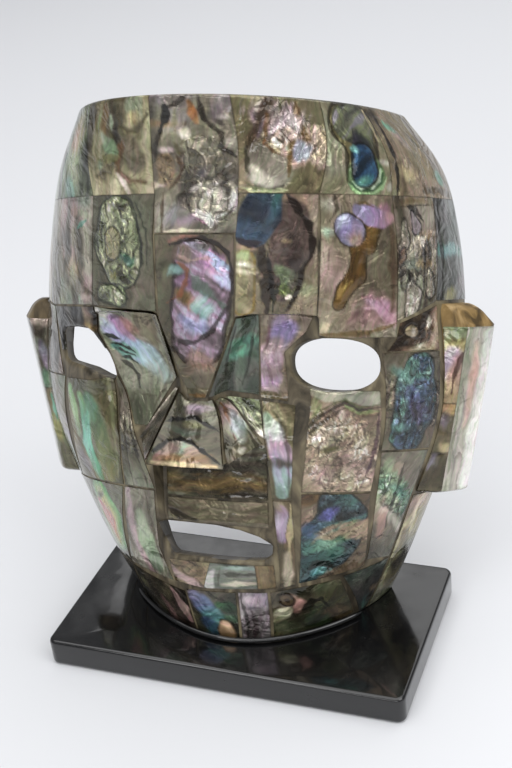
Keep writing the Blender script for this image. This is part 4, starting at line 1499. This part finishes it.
def slab(material):
    """Lacquered slab: the outline carried up a profile with a quarter round below and above."""
    turn = np.linspace(0, math.pi / 2, 9)
    edge = SLAB["edge"]
    inset = np.concatenate([edge * (1 - np.sin(turn)), edge * (1 - np.cos(turn))])
    z = np.concatenate([edge * (1 - np.cos(turn)), SLAB["height"] - edge * (1 - np.sin(turn))])
    rings = []
    for drawn_in, level in zip(inset, z):
        outline = rounded_outline(drawn_in)
        rings.append(np.column_stack([outline, np.full(len(outline), level)]))
    return add_piece("lacquered_slab", *tube(np.array(rings)), material)


def bead(material):
    """Bead of lacquer along the chin: a round string whose middle keeps its radius clear of the slab and
    the face, found by halving the height until it lies level, and which thins to both ends."""
    angle = np.radians(np.linspace(*BEAD_ENDS, BEAD_ENDS[1] - BEAD_ENDS[0] + 1))
    clearance, level = BEAD_RADIUS + GLUE_GAP, SLAB["height"] + GLUE_GAP + BEAD_RADIUS
    low, high = np.full(angle.shape, -9.0), np.full(angle.shape, 140.0)
    for _ in range(24):
        middle = (low + high) / 2
        below = in_place(*skin(angle, middle, -clearance))[:, 2] < level
        low, high = np.where(below, middle, low), np.where(below, high, middle)
    path = in_place(*skin(angle, low, -clearance))
    path[:, 2] = level
    along = np.gradient(path, axis=0)
    along /= np.linalg.norm(along, axis=1)[:, None]
    up = np.array([0.0, 0.0, 1.0])
    beside = np.cross(up, along)
    run = np.linspace(0, 1, len(path))
    uneven = 0.9 + 0.1 * np.sin(run * 37) * np.sin(run * 23 + 1)
    radius = BEAD_RADIUS * np.sqrt(1 - np.abs(2 * run - 1) ** 14 * 0.98) * uneven
    turn = np.linspace(0, 2 * math.pi, 16, endpoint=False)[None, :, None]
    rings = path[:, None] + radius[:, None, None] * (beside[:, None] * np.cos(turn) + up * np.sin(turn))
    return add_piece("lacquer_bead", *tube(rings), material)


# Materials
def add_node(material, kind, values=None, links=None, **settings):
    """Adds a node with its settings, its socket values and its links."""
    tree = material.node_tree
    node = tree.nodes.new("ShaderNode" + kind)
    for key, value in settings.items():
        setattr(node, key, value)
    for socket, value in (values or {}).items():
        node.inputs[socket].default_value = value
    for socket, source in (links or {}).items():
        tree.links.new(source, node.inputs[socket])
    return node


def new_material(name, values):
    """Material with values on its surface node, and the Object coordinates for its patterns."""
    material = bpy.data.materials.new(name)
    material.use_nodes = True
    surface = material.node_tree.nodes["Principled BSDF"]
    for socket, value in values.items():
        surface.inputs[socket].default_value = value
    place = add_node(material, "TexCoord").outputs["Object"]
    return material, surface, place


def opaque(code):
    """Linear colour of a hex value, with nothing seen through it."""
    return (*linear(code), 1)


def fill_ramp(node, places, codes):
    """Sets a colour ramp's places and hex colours."""
    for element, place, code in zip(node.color_ramp.elements, places, codes.split()):
        element.position = place
        element.color = opaque(code)


def feed(surface, sources):
    """Links sources to the surface's sockets."""
    for socket, source in sources.items():
        surface.id_data.links.new(source, surface.inputs[socket])


def abalone_under_resin():
    """Polished abalone under a poured clear coat: the shell's layers glint softly and unevenly like
    crumpled foil, and the coat above them is smooth and sharp."""
    material, surface, place = new_material("abalone_under_clear_resin", {
        "Metallic": 0.5, "Roughness": 0.27, "IOR": 1.5, "Specular IOR Level": 0.25,
        "Coat Weight": 0.85, "Coat Roughness": 0.03, "Coat IOR": 1.45})
    shade = add_node(material, "Attribute", attribute_name="shade").outputs["Color"]
    crumb = add_node(material, "Attribute", attribute_name="crumb").outputs["Fac"]
    flow = add_node(material, "Attribute", attribute_name="flow").outputs["Vector"]
    along = add_node(material, "Mapping", {"Scale": (1 / 5, 1 / 0.9, 1)}, {"Vector": flow})
    streaks = add_node(material, "TexNoise", {"Scale": 1.0, "Detail": 4.0, "Roughness": 0.6},
                       {"Vector": along.outputs[0]})
    waves = add_node(material, "TexNoise",
                     {"Scale": MM / 7, "Detail": 2.0, "Roughness": 0.5, "Distortion": 0.8},
                     {"Vector": place})
    jitter = add_node(material, "VectorMath", {"Scale": 3 / MM}, {0: waves.outputs["Color"]},
                      operation="SCALE").outputs[0]
    moved = add_node(material, "VectorMath", None, {0: place, 1: jitter}, operation="ADD").outputs[0]
    facets = add_node(material, "TexVoronoi", {"Scale": MM / 2.6}, {"Vector": moved},
                      feature="DISTANCE_TO_EDGE").outputs["Distance"]
    streak_light = add_node(material, "MapRange",
                            {"From Min": 0.3, "From Max": 0.7, "To Min": 0.82, "To Max": 1.2},
                            {"Value": streaks.outputs["Fac"]}).outputs["Result"]
    lit = add_node(material, "VectorMath", None, {0: shade, "Scale": streak_light},
                   operation="SCALE").outputs[0]
    hue = add_node(material, "ValToRGB", None, {"Fac": streaks.outputs["Color"]})
    fill_ramp(hue, (0.38, 0.62), "eef7e6 faecf0")
    colour = add_node(material, "VectorMath", None, {0: lit, 1: hue.outputs["Color"]},
                      operation="MULTIPLY")
    folded = add_node(material, "Math", None, {0: facets, 1: crumb}, operation="MULTIPLY").outputs[0]
    height = add_node(material, "Math", {1: 0.9}, {0: waves.outputs["Fac"], 2: folded},
                      operation="MULTIPLY_ADD").outputs[0]
    bump = add_node(material, "Bump", {"Strength": 1.0, "Distance": 0.0018}, {"Height": height})
    pour = add_node(material, "Bump", {"Strength": 1.0, "Distance": 0.0004}, {"Height": height})
    feed(surface, {"Base Color": colour.outputs[0], "Normal": bump.outputs[0],
                   "Coat Normal": pour.outputs[0]})
    return material


def cast_resin():
    """Polyester resin cast with ground shell in it: olive brown, streaked where it flowed, glossy."""
    material, surface, place = new_material("cast_shell_resin", {"Roughness": 0.42, "IOR": 1.5})
    warm = add_node(material, "Attribute", attribute_name="warm").outputs["Fac"]
    behind = add_node(material, "Attribute", attribute_name="behind").outputs["Fac"]
    stretched = add_node(material, "Mapping", {"Scale": (1, 1, 0.3)}, {"Vector": place})
    streaks = add_node(material, "TexNoise", {"Scale": MM / 6, "Detail": 5.0, "Distortion": 1.2},
                       {"Vector": stretched.outputs[0]}).outputs["Fac"]
    grit = add_node(material, "TexNoise", {"Scale": MM / 0.9, "Detail": 2.0},
                    {"Vector": place}).outputs["Fac"]
    ramps = []
    for codes in ("2c261a 5a5140 83795f", "4c3d24 856c42 ab9064"):
        colours = add_node(material, "ValToRGB", None, {"Fac": streaks})
        colours.color_ramp.elements.new(0.5)
        fill_ramp(colours, (0.35, 0.5, 0.68), codes)
        ramps.append(colours.outputs["Color"])
    colour = add_node(material, "Mix", None, {"Factor": warm, 6: ramps[0], 7: ramps[1]},
                      data_type="RGBA")
    deeper = add_node(material, "Mix", {7: opaque("1c170d")}, {"Factor": behind, 6: colour.outputs[2]},
                      data_type="RGBA")
    shine = add_node(material, "Math", {1: -0.35, 2: 0.35}, {0: behind}, operation="MULTIPLY_ADD")
    bump = add_node(material, "Bump", {"Strength": 0.25, "Distance": 0.0002}, {"Height": grit})
    feed(surface, {"Base Color": deeper.outputs[2], "Specular IOR Level": shine.outputs[0],
                   "Normal": bump.outputs[0]})
    return material


def black_lacquer():
    """Black lacquer, sprayed and polished: deep and mirror-like, a little wavy, with finger smudges."""
    material, surface, place = new_material("black_lacquer", {
        "Base Color": opaque("0b0b0c"), "IOR": 1.5, "Coat Weight": 0.5, "Coat Roughness": 0.05})
    smudges = add_node(material, "TexNoise", {"Scale": MM / 14, "Detail": 5.0, "Roughness": 0.65},
                       {"Vector": place}).outputs["Fac"]
    roughness = add_node(material, "MapRange",
                         {"From Min": 0.4, "From Max": 0.7, "To Min": 0.1, "To Max": 0.32},
                         {"Value": smudges})
    waves = add_node(material, "TexNoise", {"Scale": MM / 9, "Detail": 1.0}, {"Vector": place})
    bump = add_node(material, "Bump", {"Strength": 0.3, "Distance": 0.0003},
                    {"Height": waves.outputs["Fac"]})
    feed(surface, {"Roughness": roughness.outputs[0], "Normal": bump.outputs[0],
                   "Coat Normal": bump.outputs[0]})
    return material


# Studio
def area_light(name, place, target, size, power):
    """Rectangular lamp that faces its target."""
    data = bpy.data.lights.new(name, "AREA")
    data.shape = "RECTANGLE"
    data.size, data.size_y = size
    data.energy = power
    turn = (Vector(target) - Vector(place)).to_track_quat("-Z", "Y")
    show(name, data, Matrix.Translation(place) @ turn.to_matrix().to_4x4())


def studio():
    """White room: lamps above and around, and a pale floor."""
    world = bpy.data.worlds.new("studio")
    world.use_nodes = True
    world.node_tree.nodes["Background"].inputs["Color"].default_value = opaque("e8eaee")
    world.node_tree.nodes["Background"].inputs["Strength"].default_value = 0.33
    bpy.context.scene.world = world
    area_light("ceiling", (0.08, -0.05, 1.4), (0.03, 0, 0), (2.2, 2.0), 24.5)
    area_light("front_window", (-0.45, -1.0, 0.9), (0, 0, 0.09), (0.4, 0.5), 2.4)
    area_light("back_fill", (0.0, 1.1, 0.9), (0, 0.22, 0), (1.6, 0.4), 2.5)
    area_light("right_fill", (0.9, -0.35, 0.8), (0.3, -0.12, 0), (0.7, 0.7), 3.4)
    area_light("front_strip", (0.15, -0.9, 0.35), (0, 0, 0.05), (0.9, 0.1), 1.5)
    mesh = bpy.data.meshes.new("floor")
    corners = [(-2, -2, 0), (2, -2, 0), (2, 2, 0), (-2, 2, 0)]
    mesh.from_pydata(corners, [], [(0, 1, 2, 3)])
    material, _, _ = new_material("pale_floor", {"Base Color": opaque("dddee1"), "Roughness": 0.7})
    mesh.materials.append(material)
    show("floor", mesh)
    bpy.context.scene.view_settings.view_transform = "Standard"


# All pieces
place_camera()
studio()
abalone = abalone_under_resin()
resin = cast_resin()
lacquer = black_lacquer()


def stands_for(piece, node):
    """A piece that takes the place of a solid, rides with it and has its finish."""
    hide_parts(node)
    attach(piece, "root")


stands_for(slab(lacquer), "base_slab")
stands_for(bead(lacquer), "chin_bead")
stands_for(resin_face(resin), "resin_face")
for seed, (name, rungs) in enumerate(TILES.items()):
    stands_for(face_tile(name, rungs, seed * 7 + 3, abalone), name)
for side, side_name in ((1, "right"), (-1, "left")):
    for seed, (part, s_range, z_range) in enumerate([
            ("upper", (0, 1), (EAR["seam"], EAR["shoulder"])),
            ("lower", (0, 1), (EAR["bottom"], EAR["seam"])),
            ("outer", (1, 2), (EAR["bottom"], EAR["shoulder"]))]):
        name = f"ear_tile_{side_name}_{part}"
        stands_for(ear_tile(name, side, s_range, z_range, 400 + side * 20 + seed, abalone), name)
